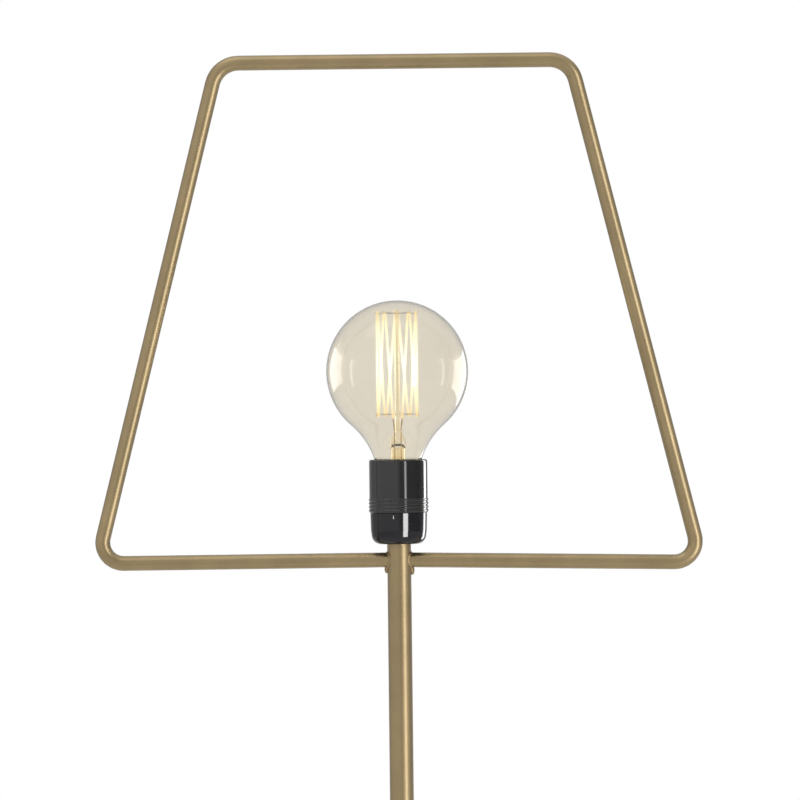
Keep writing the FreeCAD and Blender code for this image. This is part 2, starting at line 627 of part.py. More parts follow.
# ---------------------------------------------------------------- base
def make_base_plate():
    """round plate with a counterbored hole for the pole's bolt"""
    body = new_body("base_plate", PLATE_LOW)
    section = new_sketch(body, "Section", "XY_Plane")
    circle(section, "sizes.plate_diameter")
    plate = pad(body, section, "sizes.plate_thickness")
    hole = new_sketch(body, "BoltHoleSketch", "XY_Plane")
    circle(hole, "sizes.bolt_diameter + 2 * sizes.bolt_clearance")
    cut(body, hole, "BoltHole")
    recess = new_sketch(body, "CounterboreSketch", "XY_Plane")
    circle(recess, COUNTERBORE)
    plate = cut(body, recess, "Counterbore", both=False, back=True,
                depth="sizes.counterbore_depth")
    rim = "sizes.plate_diameter / 2"
    plate = soften(body, plate, "Fillet", "sizes.plate_round", (rim, "sizes.plate_thickness"),
                   "UpperEdge")
    soften(body, plate, "Chamfer", "sizes.plate_break", (rim, "0"), "LowerEdge")
    return body


def make_floor_pads():
    """group of round pads under the plate, spread evenly on one circle"""
    body = new_body("floor_pads")
    section = new_sketch(body, "Section", "XY_Plane")
    circle(section, "sizes.foot_diameter", "sizes.foot_circle / 2 * cos(45)",
           "sizes.foot_circle / 2 * sin(45)")
    first = pad(body, section, "sizes.foot_height")
    ring = body.newObject("PartDesign::PolarPattern", "Ring")
    ring.Originals = [first]
    ring.Axis = (section, ["N_Axis"])
    ring.Angle = 360
    ring.setExpression("Occurrences", "sizes.foot_count")
    body.Tip = ring
    return body


def make_base_washer():
    """washer between the bolt's head and the plate"""
    body = new_body("base_washer", "%s + sizes.counterbore_depth - sizes.washer_thickness"
                    % PLATE_LOW)
    section = new_sketch(body, "Section", "XY_Plane")
    circle(section, WASHER)
    circle(section, "sizes.bolt_diameter + 2 * sizes.bolt_clearance")
    pad(body, section, "sizes.washer_thickness")
    return body


def make_base_bolt():
    """button-head bolt that screws up into the plug in the pole's foot"""
    body = new_body("base_bolt", "%s + sizes.counterbore_depth - sizes.washer_thickness"
                    " - sizes.bolt_head_height" % PLATE_LOW)
    section = new_sketch(body, "Section")
    outline(section, [
        ("0", "0"),
        (BOLT_HEAD + " / 2 - sizes.bolt_head_height / 2", "0"),
        (BOLT_HEAD + " / 2", "sizes.bolt_head_height / 2"),
        (BOLT_HEAD + " / 2", "sizes.bolt_head_height"),
        ("sizes.bolt_diameter / 2", "sizes.bolt_head_height"),
        ("sizes.bolt_diameter / 2", "sizes.bolt_head_height + sizes.bolt_length - 1"),
        ("sizes.bolt_diameter / 2 - 1", "sizes.bolt_head_height + sizes.bolt_length"),
        ("0", "sizes.bolt_head_height + sizes.bolt_length"),
    ])
    revolve(body, section)
    key = new_sketch(body, "KeySketch", "XY_Plane")
    reach = "sizes.bolt_key / 2 / cos(30)"
    outline(key, [("%s * cos(%d)" % (reach, turn), "%s * sin(%d)" % (reach, turn))
                  for turn in (30, 90, 150, 210, 270, 330)])
    cut(body, key, "Key", both=False, back=True, depth="sizes.bolt_key_depth")
    return body


# ---------------------------------------------------------------- lampholder
def make_lampholder_dome():
    """lower half of the lampholder, a cup with an oval recess below the joint"""
    body = new_body("lampholder_dome", POLE_TOP)
    top = JOINT + " - sizes.joint_gap"
    foot = DOME_HALF + " - sizes.dome_foot_draft"
    waist = DOME_HALF + " - sizes.dome_draft"
    section = new_sketch(body, "Section")
    outline(section, [
        (DOME_HOLE_HALF, "0"),
        (foot, "0"),
        (waist, "sizes.dome_waist_level"),
        (DOME_HALF, top),
        (DOME_BORE_HALF, top),
        (DOME_BORE_HALF, LEDGE),
        (DOME_BORE_HALF + " - sizes.dome_step", LEDGE),
        (DOME_BORE_HALF + " - sizes.dome_step", "sizes.dome_floor"),
        (DOME_HOLE_HALF, "sizes.dome_floor"),
    ])
    cup = revolve(body, section)
    cup = soften(body, cup, "Fillet", "sizes.dome_round", (foot, "0"), "FootRound")
    cup = soften(body, cup, "Fillet", "sizes.dome_side_round", (waist, "sizes.dome_waist_level"),
                 "SideRound")
    notch = body.newObject("PartDesign::SubtractiveEllipsoid", "Notch")
    notch.setExpression("Radius1", "sizes.notch_height / 2")
    notch.setExpression("Radius2", "sizes.notch_width / 2")
    notch.setExpression("Radius3", "sizes.notch_depth")
    notch.setExpression("Placement.Base.x", "-sizes.notch_side")
    notch.setExpression("Placement.Base.y",
                        "-sqrt(%s^2 - sizes.notch_side^2)" % DOME_HALF)
    notch.setExpression("Placement.Base.z", JOINT + " - sizes.notch_drop")
    doc.recompute()
    if not body.Shape.Volume < cup.Shape.Volume:
        raise RuntimeError("the dome's recess cuts nothing")
    return body


def make_dome_thread_insert():
    """threaded metal insert in the dome's floor, with a cross hole for its grub screw"""
    body = new_body("dome_thread_insert", POLE_TOP)
    flange_top = "(sizes.dome_floor + sizes.flange_thickness)"
    section = new_sketch(body, "Section")
    outline(section, [
        (INSERT_BORE_HALF, "sizes.fit_gap"),
        (INSERT_NECK_HALF, "sizes.fit_gap"),
        (INSERT_NECK_HALF, "sizes.dome_floor"),
        (INSERT_FLANGE_HALF, "sizes.dome_floor"),
        (INSERT_FLANGE_HALF, flange_top),
        (INSERT_HALF, flange_top),
        (INSERT_HALF, flange_top + " + sizes.insert_height"),
        (INSERT_BORE_HALF, flange_top + " + sizes.insert_height"),
    ])
    revolve(body, section)
    hole = new_sketch(body, "GrubHoleSketch")
    circle(hole, "sizes.grub_diameter + 2 * sizes.fit_gap", "0",
           flange_top + " + sizes.insert_height / 2")
    cut(body, hole, "GrubHole", both=False)
    return body


def make_dome_grub_screw():
    """slotted grub screw that locks the dome on the nipple"""
    level = POLE_TOP + " + sizes.dome_floor + sizes.flange_thickness + sizes.insert_height / 2"
    stud = lying_cylinder("grub_stud", "sizes.grub_diameter", INSERT_BORE_HALF, INSERT_HALF,
                          level)
    slot = doc.addObject("Part::Box", "grub_slot")
    slot.setExpression("Length", "sizes.grub_diameter * 2")
    slot.setExpression("Width", "sizes.screw_slot")
    slot.setExpression("Height", "sizes.screw_slot")
    slot.setExpression("Placement.Base.x", "-sizes.grub_diameter")
    slot.setExpression("Placement.Base.y", INSERT_HALF + " - sizes.screw_slot")
    slot.setExpression("Placement.Base.z", level + " - sizes.screw_slot / 2")
    screw = subtract("dome_grub_screw", stud, slot)
    pieces.append(screw)
    return screw


def make_insulator_block():
    """ceramic disc on the dome's ledge, with a hole for each contact rivet"""
    body = new_body("insulator_block", POLE_TOP + " + " + LEDGE)
    flange = DOME_BORE_HALF + " - sizes.insulator_room"
    boss = SPIGOT_BORE_HALF + " - sizes.insulator_inset"
    section = new_sketch(body, "Section")
    outline(section, [
        ("0", "0"),
        (flange, "0"),
        (flange, "sizes.insulator_flange_height"),
        (boss, "sizes.insulator_flange_height"),
        (boss, "sizes.insulator_height"),
        ("0", "sizes.insulator_height"),
    ])
    revolve(body, section)
    holes = new_sketch(body, "RivetHoleSketch", "XY_Plane")
    circle(holes, "sizes.rivet_diameter + 2 * sizes.fit_gap", "sizes.centre_rivet_spot")
    circle(holes, "sizes.rivet_diameter + 2 * sizes.fit_gap", "-sizes.shell_rivet_spot")
    cut(body, holes, "RivetHoles")
    return body


def make_terminal(side, label):
    """brass block under the insulator, with a wire hole and a threaded hole from below"""
    body = new_body(label, "%s + %s - sizes.terminal_height" % (POLE_TOP, LEDGE))
    near = "%d * sizes.terminal_inner" % side
    far = "%d * (sizes.terminal_inner + sizes.terminal_length)" % side
    section = new_sketch(body, "Section", "XY_Plane")
    outline(section, [
        (near, "-sizes.terminal_width / 2"),
        (far, "-sizes.terminal_width / 2"),
        (far, "sizes.terminal_width / 2"),
        (near, "sizes.terminal_width / 2"),
    ])
    pad(body, section, "sizes.terminal_height")
    wire = new_sketch(body, "WireHoleSketch", "YZ_Plane")
    circle(wire, "sizes.terminal_bore", "0", "sizes.terminal_height - sizes.terminal_bore_drop")
    cut(body, wire, "WireHole")
    screw = new_sketch(body, "ScrewHoleSketch", "XY_Plane")
    circle(screw, "sizes.terminal_screw_diameter + 2 * sizes.fit_gap",
           "%d * sizes.terminal_screw_spot" % side)
    cut(body, screw, "ScrewHole", both=False, back=True,
        depth="sizes.terminal_height - sizes.terminal_bore_drop")
    return body


def make_terminal_screws():
    """two slotted screws that clamp the wires from below"""
    screws = []
    low = ("%s + %s - sizes.terminal_height - sizes.terminal_screw_head_height"
           % (POLE_TOP, LEDGE))
    for side in (-1, 1):
        spot = "%d * sizes.terminal_screw_spot" % side
        head = primitive("Cylinder", "screw_head", low, Radius="sizes.terminal_screw_head / 2",
                         Height="sizes.terminal_screw_head_height")
        shank = primitive("Cylinder", "screw_shank", low,
                          Radius="sizes.terminal_screw_diameter / 2",
                          Height="sizes.terminal_screw_head_height + sizes.terminal_height"
                                 " - sizes.terminal_bore_drop - sizes.terminal_bore / 2")
        slot = primitive("Box", "screw_slot", low, Length="sizes.screw_slot",
                         Width="2 * sizes.terminal_screw_head", Height="sizes.screw_slot")
        slot.setExpression("Placement.Base.x", spot + " - sizes.screw_slot / 2")
        slot.setExpression("Placement.Base.y", "-sizes.terminal_screw_head")
        for item in (head, shank):
            item.setExpression("Placement.Base.x", spot)
        blank = doc.addObject("Part::MultiFuse", "screw_blank")
        blank.Shapes = [head, shank]
        screws.append(subtract("terminal_screw", blank, slot))
    group = doc.addObject("Part::Compound", "terminal_screws")
    group.Links = screws
    pieces.append(group)
    return group


def make_rivet(label, spot, sheet_above):
    """rivet from a terminal up through the insulator, headed over a contact sheet"""
    low = "%s + %s" % (POLE_TOP, LEDGE)
    grip = "sizes.insulator_height + " + sheet_above
    shank = primitive("Cylinder", label + "_shank", low, Radius="sizes.rivet_diameter / 2",
                      Height=grip)
    head = primitive("Cylinder", label + "_head", "%s + %s" % (low, grip),
                     Radius="sizes.rivet_head / 2", Height="sizes.rivet_head_height")
    for item in (shank, head):
        item.setExpression("Placement.Base.x", spot)
    rivet = doc.addObject("Part::MultiFuse", label)
    rivet.Shapes = [shank, head]
    pieces.append(rivet)
    return rivet


def make_centre_contact():
    """springy strip that arches up under the bulb's tip"""
    body = new_body("centre_contact", "%s + %s" % (POLE_TOP, INSULATOR_TOP))
    crest = "(sizes.contact_rise - sizes.contact_gap)"
    sheet_top = "sizes.contact_thickness"
    inner_crest = "(sizes.contact_crest - sizes.contact_thickness / 2)"
    section = new_sketch(body, "Section")
    outline(section, [
        ("sizes.contact_reach", "0"),
        ("sizes.contact_reach", sheet_top),
        ("sizes.contact_reach / 2 - sizes.contact_thickness / 2", sheet_top),
        ("sizes.contact_crest", crest),
        ("-sizes.contact_crest", crest),
        ("-sizes.contact_reach / 2", "2 * sizes.contact_thickness"),
        ("-sizes.contact_reach / 2 + sizes.contact_thickness", "1.4 * sizes.contact_thickness"),
        ("-" + inner_crest, crest + " - sizes.contact_thickness"),
        (inner_crest, crest + " - sizes.contact_thickness"),
        ("sizes.contact_reach / 2 - sizes.contact_thickness", "0"),
    ])
    strip = pad(body, section, "sizes.contact_width")
    strip.Midplane = True
    hole = new_sketch(body, "RivetHoleSketch", "XY_Plane")
    circle(hole, "sizes.rivet_diameter + 2 * sizes.fit_gap", "sizes.centre_rivet_spot")
    cut(body, hole, "RivetHole", both=False, back=True, depth="2 * sizes.contact_thickness")
    return body


def make_screw_shell():
    """sheet socket with the lamp thread rolled inward, riveted to the insulator"""
    body = new_body("screw_shell", "%s + %s" % (POLE_TOP, INSULATOR_TOP))
    # The bulb's ridges lie midway between these, so the two threads stand half a pitch apart.
    start = "(sizes.contact_rise + %s - 1.5 * sizes.thread_pitch)" % THREAD_START
    top = ("(%s + sizes.shell_thread_turns * sizes.thread_pitch + sizes.thread_round / 2"
           " + sizes.shell_lip)" % start)
    section = new_sketch(body, "Section")
    outline(section, [
        ("sizes.shell_floor_hole / 2", "0"),
        (SHELL_HALF, "0"),
        (SHELL_HALF, top),
        (SHELL_HALF + " - sizes.shell_sheet", top),
        (SHELL_HALF + " - sizes.shell_sheet", "sizes.shell_sheet"),
        ("sizes.shell_floor_hole / 2", "sizes.shell_sheet"),
    ])
    revolve(body, section)
    hole = new_sketch(body, "RivetHoleSketch", "XY_Plane")
    circle(hole, "sizes.rivet_diameter + 2 * sizes.fit_gap", "-sizes.shell_rivet_spot")
    cut(body, hole, "RivetHole")
    helical_ridge(body, -1, SHELL_CREST_HALF, SHELL_HALF + " - sizes.shell_sheet / 2", start,
                  "sizes.shell_thread_turns", "Thread")
    return body


def make_lampholder_skirt():
    """upper half of the lampholder, with grip ridges above the joint and a round rim"""
    body = new_body("lampholder_skirt", POLE_TOP)
    spigot_low = LEDGE + " + sizes.insulator_flange_height + sizes.fit_gap"
    section = new_sketch(body, "Section")
    outline(section, [
        (SPIGOT_BORE_HALF, spigot_low),
        (SPIGOT_HALF, spigot_low),
        (SPIGOT_HALF, JOINT),
        (SKIRT_HALF, JOINT),
        (SKIRT_HALF, RIM),
        (SKIRT_HALF + " - sizes.skirt_wall", RIM),
        (SKIRT_HALF + " - sizes.skirt_wall", JOINT + " + sizes.skirt_step"),
        (SPIGOT_BORE_HALF, JOINT + " + sizes.skirt_step"),
    ])
    tube = revolve(body, section)
    soften(body, tube, "Fillet", "sizes.rim_round", (SKIRT_HALF, RIM), "RimRound")
    ridge = new_sketch(body, "RidgeSketch")
    middle = JOINT + " + sizes.ridge_start"
    base_half = "sizes.ridge_pitch / 3"
    crest_half = "sizes.ridge_pitch / 9"
    outline(ridge, [
        (SKIRT_HALF + " - sizes.ridge_height", "%s - %s" % (middle, base_half)),
        (SKIRT_HALF, "%s - %s" % (middle, base_half)),
        (SKIRT_HALF + " + sizes.ridge_height", "%s - %s" % (middle, crest_half)),
        (SKIRT_HALF + " + sizes.ridge_height", "%s + %s" % (middle, crest_half)),
        (SKIRT_HALF, "%s + %s" % (middle, base_half)),
        (SKIRT_HALF + " - sizes.ridge_height", "%s + %s" % (middle, base_half)),
    ])
    first = revolve(body, ridge)
    ridges = body.newObject("PartDesign::LinearPattern", "Ridges")
    ridges.Originals = [first]
    ridges.Direction = (ridge, ["V_Axis"])
    ridges.setExpression("Length", "sizes.ridge_pitch * (sizes.ridge_count - 1)")
    ridges.setExpression("Occurrences", "sizes.ridge_count")
    body.Tip = ridges
    return body


# ---------------------------------------------------------------- wiring
def make_inner_lead():
    """sheathed lead from the cable bush up the pole into the lampholder"""
    bore_half = size(POLE_BORE) / 2
    half = size("sizes.lead_diameter") / 2
    level = size("sizes.grommet_level")
    front = -(bore_half - half - size("sizes.lead_wall_gap"))
    top = size(POLE_TOP)
    path = route([
        Vector(0, bore_half - size("sizes.grommet_inset"), level),
        Vector(0, front, level),
        Vector(0, 0, top - size("sizes.lead_straight")),
        Vector(0, 0, top + size("sizes.sheath_end")),
    ], [size("sizes.lead_bend"), size("sizes.lead_ease")])
    solid = round_wire(path, size("sizes.lead_diameter"))
    bent = [edge for edge in path.Edges if isinstance(edge.Curve, Part.Circle)]
    radii = [round(edge.Curve.Radius, 1) for edge in bent]
    print("inner lead: length %.0f, bend radii %s" % (path.Length, radii))
    return place("inner_lead", solid, "0")


def make_core(side, label):
    """insulated core from the sheath's end to the face of its terminal"""
    level = size(LEDGE + " - sizes.terminal_bore_drop")
    beside = side * size("sizes.core_spread")
    path = route([
        Vector(beside, 0, size("sizes.sheath_end")),
        Vector(beside, 0, level),
        Vector(side * size("sizes.terminal_inner"), 0, level),
    ], [size("sizes.core_bend")])
    return place(label, round_wire(path, size("sizes.core_diameter")), POLE_TOP)


def make_wire_ferrules():
    """group of the two ferrules that sit in the terminals' wire holes"""
    level = size(LEDGE + " - sizes.terminal_bore_drop")
    ferrules = []
    for side in (-1, 1):
        start = Vector(side * size("sizes.terminal_inner"), 0, level)
        ferrules.append(Part.makeCylinder(size("sizes.ferrule_diameter") / 2,
                                          size("sizes.ferrule_length"), start, Vector(side, 0, 0)))
    return place("wire_ferrules", Part.makeCompound(ferrules), POLE_TOP)


# ---------------------------------------------------------------- bulb
NECK_ACROSS = "(%s + sizes.neck_overlap + sizes.neck_curve)" % COLLAR_HALF
NECK_REACH = "(sizes.globe_diameter / 2 + sizes.neck_curve)"
GLOBE_LEVEL = "(sizes.neck_level + sqrt(%s^2 - %s^2))" % (NECK_REACH, NECK_ACROSS)


def neck_sweep(section, inset, shoulder):
    """globe arc and neck arc, both set in from the outer glass; returns their two items"""
    globe = "(sizes.globe_diameter / 2 - %s)" % inset
    neck = "(sizes.neck_curve + %s)" % inset
    meet_across = "%s * %s / %s" % (globe, NECK_ACROSS, NECK_REACH)
    meet_level = "%s - %s * (%s - sizes.neck_level) / %s" % (GLOBE_LEVEL, globe, GLOBE_LEVEL,
                                                             NECK_REACH)
    globe_middle = Vector(0, size(GLOBE_LEVEL), 0)
    neck_middle = Vector(size(NECK_ACROSS), size("sizes.neck_level"), 0)
    lean = math.asin(size("%s / %s" % (NECK_ACROSS, NECK_REACH)))
    rise = math.asin((size(shoulder) - neck_middle.y) / size(neck))
    upper = section.addGeometry(Part.ArcOfCircle(Part.Circle(globe_middle, UP, size(globe)),
                                                 lean - math.pi / 2, math.pi / 2))
    lower = section.addGeometry(Part.ArcOfCircle(Part.Circle(neck_middle, UP, size(neck)),
                                                 lean + math.pi / 2, math.pi - rise))
    hold(section, upper, 3, "0", GLOBE_LEVEL)
    hold(section, upper, 1, meet_across, meet_level)
    section.addConstraint(Sketcher.Constraint("PointOnObject", upper, 2, -2))
    hold(section, lower, 3, NECK_ACROSS, "sizes.neck_level")
    section.addConstraint(Sketcher.Constraint("Coincident", upper, 1, lower, 1))
    rule(section, "DistanceY", shoulder, -1, 1, lower, 2)
    return upper, lower


def make_bulb_glass():
    """hollow globe whose neck sweeps in and steps down into the cap"""
    body = new_body("bulb_glass", BULB_TIP)
    section = new_sketch(body, "Section")
    shoulder = CAP_TOP + " + sizes.neck_shoulder"
    outer_globe, outer_neck = neck_sweep(section, "0", shoulder)
    inner_globe, inner_neck = neck_sweep(section, "sizes.glass_wall", shoulder)
    spots = [
        (NECK_ENTRY_HALF, CAP_TOP),
        (NECK_ENTRY_HALF, CAP_TOP + " - sizes.neck_entry_depth"),
        (NECK_ENTRY_HALF + " - sizes.glass_wall", CAP_TOP + " - sizes.neck_entry_depth"),
        (NECK_ENTRY_HALF + " - sizes.glass_wall", CAP_TOP),
    ]
    points = [Vector(size(across), size(along), 0) for across, along in spots]
    corners = [section.Geometry[outer_neck].EndPoint] + points
    corners.append(section.Geometry[inner_neck].EndPoint)
    runs = [section.addGeometry(Part.LineSegment(start, end))
            for start, end in zip(corners, corners[1:])]
    section.addConstraint(Sketcher.Constraint("Coincident", outer_neck, 2, runs[0], 1))
    for before, after, (across, along) in zip(runs, runs[1:], spots):
        section.addConstraint(Sketcher.Constraint("Coincident", before, 2, after, 1))
        hold(section, after, 1, across, along)
    section.addConstraint(Sketcher.Constraint("Coincident", runs[-1], 2, inner_neck, 2))
    crown = section.addGeometry(Part.LineSegment(section.Geometry[inner_globe].EndPoint,
                                                 section.Geometry[outer_globe].EndPoint))
    section.addConstraint(Sketcher.Constraint("Coincident", inner_globe, 2, crown, 1))
    section.addConstraint(Sketcher.Constraint("Coincident", outer_globe, 2, crown, 2))
    doc.recompute()
    revolve(body, section)
    return body


def make_bulb_cap():
    """sheet cap with the lamp thread rolled outward and a collar round the glass"""
    body = new_body("bulb_cap", BULB_TIP)
    taper_top = "sizes.cap_foot_level + sizes.cap_taper"
    flare_low = COLLAR_LOW + " - sizes.cap_flare"
    section = new_sketch(body, "Section")
    outline(section, [
        (CAP_FOOT_HALF + " - sizes.cap_sheet", "sizes.cap_foot_level"),
        (CAP_FOOT_HALF, "sizes.cap_foot_level"),
        (CAP_HALF, taper_top),
        (CAP_HALF, flare_low),
        (COLLAR_HALF, COLLAR_LOW),
        (COLLAR_HALF, CAP_TOP),
        (COLLAR_HALF + " - sizes.cap_sheet", CAP_TOP),
        (COLLAR_HALF + " - sizes.cap_sheet", COLLAR_LOW + " + sizes.cap_sheet / 2"),
        (CAP_HALF + " - sizes.cap_sheet", flare_low + " + sizes.cap_sheet / 2"),
        (CAP_HALF + " - sizes.cap_sheet", taper_top + " + sizes.cap_sheet / 2"),
        (CAP_FOOT_HALF + " - sizes.cap_sheet", "sizes.cap_foot_level + sizes.cap_sheet"),
    ])
    revolve(body, section)
    helical_ridge(body, 1, CAP_CREST_HALF, CAP_HALF + " - sizes.cap_sheet / 2", THREAD_START,
                  "sizes.cap_thread_turns", "Thread")
    return body


def make_cap_insulator():
    """black glass between the cap's foot and the tip, with a hole for one lead-in wire"""
    body = new_body("cap_insulator", BULB_TIP)
    inside = CAP_FOOT_HALF + " - sizes.cap_sheet - sizes.fit_gap"
    section = new_sketch(body, "Section")
    outline(section, [
        ("sizes.support_wire", "sizes.tip_height"),
        ("sizes.tip_diameter / 2", "sizes.tip_height"),
        (inside, "sizes.cap_foot_level"),
        (inside, "sizes.cap_foot_level + sizes.cap_sheet"),
        ("sizes.support_wire", "sizes.cap_foot_level + sizes.cap_sheet"),
    ])
    revolve(body, section)
    return body


def make_bulb_tip():
    """solder contact at the bulb's lower end"""
    body = new_body("bulb_tip_contact", BULB_TIP)
    section = new_sketch(body, "Section")
    outline(section, [
        ("0", "0"),
        ("sizes.tip_diameter / 3", "0"),
        ("sizes.tip_diameter / 2", "sizes.tip_height / 2"),
        ("sizes.tip_diameter / 2", "sizes.tip_height"),
        ("0", "sizes.tip_height"),
    ])
    revolve(body, section)
    return body


def make_bulb_stem():
    """glass stem: flare on the neck, tube, flattened pinch, and a rod with two buttons"""
    flare = doc.addObject("PartDesign::Body", "stem_flare")
    flare.setExpression("Placement.Base.z", BULB_TIP)
    tube = "sizes.stem_tube / 2"
    low = "(%s - sizes.neck_entry_depth)" % CAP_TOP
    edge = "(%s - sizes.glass_wall - sizes.fit_gap)" % NECK_ENTRY_HALF
    section = new_sketch(flare, "Section")
    outline(section, [
        (edge, low),
        (edge, low + " + sizes.stem_wall"),
        (tube + " + 1.5 * sizes.stem_wall", low + " + 2 * sizes.stem_wall"),
        (tube, low + " + 4.5 * sizes.stem_wall"),
        (tube, "sizes.pinch_low"),
        (tube + " - sizes.stem_wall", "sizes.pinch_low"),
        (tube + " - sizes.stem_wall", low + " + 4 * sizes.stem_wall"),
        (tube + " + sizes.stem_wall", low + " + sizes.stem_wall"),
    ])
    revolve(flare, section)
    rings = []
    for name, level, across, along in (
            ("pinch_low_ring", "sizes.pinch_low", "sizes.stem_tube", "sizes.stem_tube"),
            ("pinch_wide_ring", "sizes.pinch_low + sizes.pinch_widest", "sizes.pinch_width",
             "sizes.pinch_depth"),
            ("pinch_high_ring", "sizes.pinch_low + sizes.pinch_height", "sizes.pinch_top_width",
             "sizes.pinch_depth")):
        rings.append(primitive("Ellipse", name, "%s + %s" % (BULB_TIP, level),
                               MajorRadius=across + " / 2", MinorRadius=along + " / 2"))
    pinch = doc.addObject("Part::Loft", "pinch")
    pinch.Sections = rings
    pinch.Solid = True
    pinch.Ruled = False
    arbor = primitive("Cylinder", "arbor", BULB_TIP + " + sizes.pinch_low + sizes.pinch_widest",
                      Radius="sizes.arbor_diameter / 2",
                      Height="sizes.cage_high + sizes.hub_height - sizes.pinch_low"
                             " - sizes.pinch_widest")
    low_hub = primitive("Cylinder", "low_hub", BULB_TIP + " + sizes.cage_low"
                        " - sizes.hub_height / 2", Radius="sizes.hub_diameter / 2",
                        Height="sizes.hub_height")
    high_hub = primitive("Cylinder", "high_hub", BULB_TIP + " + sizes.cage_high"
                         " - sizes.hub_height / 2", Radius="sizes.hub_diameter / 2",
                         Height="sizes.hub_height")
    blank = doc.addObject("Part::MultiFuse", "stem_blank")
    blank.Shapes = [flare, pinch, arbor, low_hub, high_hub]
    hole = lying_cylinder("exhaust_tool", "sizes.exhaust_hole", "-sizes.pinch_depth",
                          "sizes.pinch_depth", BULB_TIP + " + sizes.pinch_low + sizes.pinch_widest")
    hole.setExpression("Placement.Base.x", "sizes.exhaust_side")
    stem = subtract("bulb_stem", blank, hole)
    pieces.append(stem)
    return stem


def make_filament_hooks():
    """hook wires from the glass buttons out to the filament's bends"""
    hub = size("sizes.hub_diameter") / 2
    inner = hub - size("sizes.hook_bite")
    outer = size("sizes.cage_diameter") / 2 + size("sizes.hook_overhang")
    step = 360 / size("sizes.hook_count")
    wires = []
    for count in range(int(size("sizes.hook_count"))):
        for level, turn, tail in (("sizes.cage_high", (count + 0.5) * step, 1),
                                  ("sizes.cage_low", count * step, -1)):
            if tail < 0 and count == 0:
                continue
            height = size(level)
            path = route([
                polar(inner, turn, height),
                polar(outer, turn, height),
                polar(outer, turn, height + tail * size("sizes.hook_tail")),
            ], [size("sizes.hook_bend")])
            wires.append(round_wire(path, size("sizes.hook_wire")))
    return place("filament_hooks", Part.makeCompound(wires), BULB_TIP)


def filament_end(side):
    """point where the filament meets a lead-in wire, at the front of the cage"""
    radius = size("sizes.cage_diameter") / 2
    turn = math.degrees(math.asin(size("sizes.end_spread") / radius))
    return polar(radius, side * turn, size("sizes.cage_low - sizes.end_drop"))


def make_filament():
    """one coiled wire that zigzags round the cage between the upper and lower hooks"""
    radius = size("sizes.cage_diameter") / 2
    bend = size("sizes.filament_bend")
    count = int(size("sizes.hook_count"))
    sideways = radius * math.sin(math.pi / count)
    upright = size("sizes.cage_high - sizes.cage_low")
    lean = math.atan(sideways / upright) - math.asin(2 * bend / math.hypot(sideways, upright))
    beyond = bend / math.sin(lean)
    points = [filament_end(-1)]
    for turn in range(1, 2 * count):
        high = turn % 2 == 1
        level = size("sizes.cage_high") + beyond if high else size("sizes.cage_low") - beyond
        points.append(polar(radius, -turn * 180 / count, level))
    points.append(filament_end(1))
    path = route(points, [bend] * (len(points) - 2))
    return place("filament", round_wire(path, size("sizes.filament_wire")), BULB_TIP)


def make_lead_in_wires():
    """two wires from the cap through the pinch to the filament's ends"""
    spread = size("sizes.support_spread")
    bend = size("sizes.support_bend")
    pinch_top = size("sizes.pinch_low + sizes.pinch_height")
    room = size("sizes.cap_foot_level + sizes.cap_sheet")
    wall = size(CAP_HALF + " - sizes.cap_sheet - sizes.fit_gap")
    tip = size("sizes.tip_height + sizes.fit_gap")
    starts = {
        -1: [Vector(0, 0, tip), Vector(0, 0, room + bend), Vector(-spread, 0, room + 3 * bend)],
        1: [Vector(wall, 0, room + 2 * bend), Vector(spread, 0, room + 2 * bend)],
    }
    wires = []
    for side, points in starts.items():
        points.append(Vector(side * spread, 0, pinch_top + bend))
        points.append(filament_end(side))
        path = route(points, [bend] * (len(points) - 2))
        wires.append(round_wire(path, size("sizes.support_wire")))
    return place("lead_in_wires", Part.makeCompound(wires), BULB_TIP)


shade_frame = make_shade_frame()
make_pole_tube()
make_weld_bead(-1, "weld_bead_left", shade_frame)
make_weld_bead(1, "weld_bead_right", shade_frame)
make_pole_foot_plug()
make_pole_top_bush()
make_threaded_nipple()
make_cable_grommet()
make_base_plate()
make_floor_pads()
make_base_washer()
make_base_bolt()
make_lampholder_dome()
make_dome_thread_insert()
make_dome_grub_screw()
make_insulator_block()
make_terminal(-1, "shell_terminal")
make_terminal(1, "centre_terminal")
make_terminal_screws()
make_rivet("shell_rivet", "-sizes.shell_rivet_spot", "sizes.shell_sheet")
make_rivet("centre_rivet", "sizes.centre_rivet_spot", "sizes.contact_thickness")
make_centre_contact()
make_screw_shell()
make_lampholder_skirt()
make_inner_lead()
make_core(-1, "core_neutral")
make_core(1, "core_live")
make_wire_ferrules()
make_bulb_glass()
make_bulb_cap()
make_cap_insulator()
make_bulb_tip()
make_bulb_stem()
make_filament_hooks()
make_filament()
make_lead_in_wires()

# ---------------------------------------------------------------- check and write
doc.recompute()
for item in doc.Objects:
    if "Invalid" in item.State or "Error" in item.State:
        raise RuntimeError("%s is left in state %s" % (item.Label, item.State))
for piece in pieces:
    if piece.Shape.isNull() or not piece.Shape.isValid():
        raise RuntimeError("%s has no valid shape" % piece.Label)
os.makedirs("parts", exist_ok=True)
for piece in pieces:
    piece.Shape.exportStep("parts/%s.step" % piece.Label)
print("%d pieces written" % len(pieces))
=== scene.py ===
import bmesh
import bpy
import math
from mathutils import Matrix, Vector


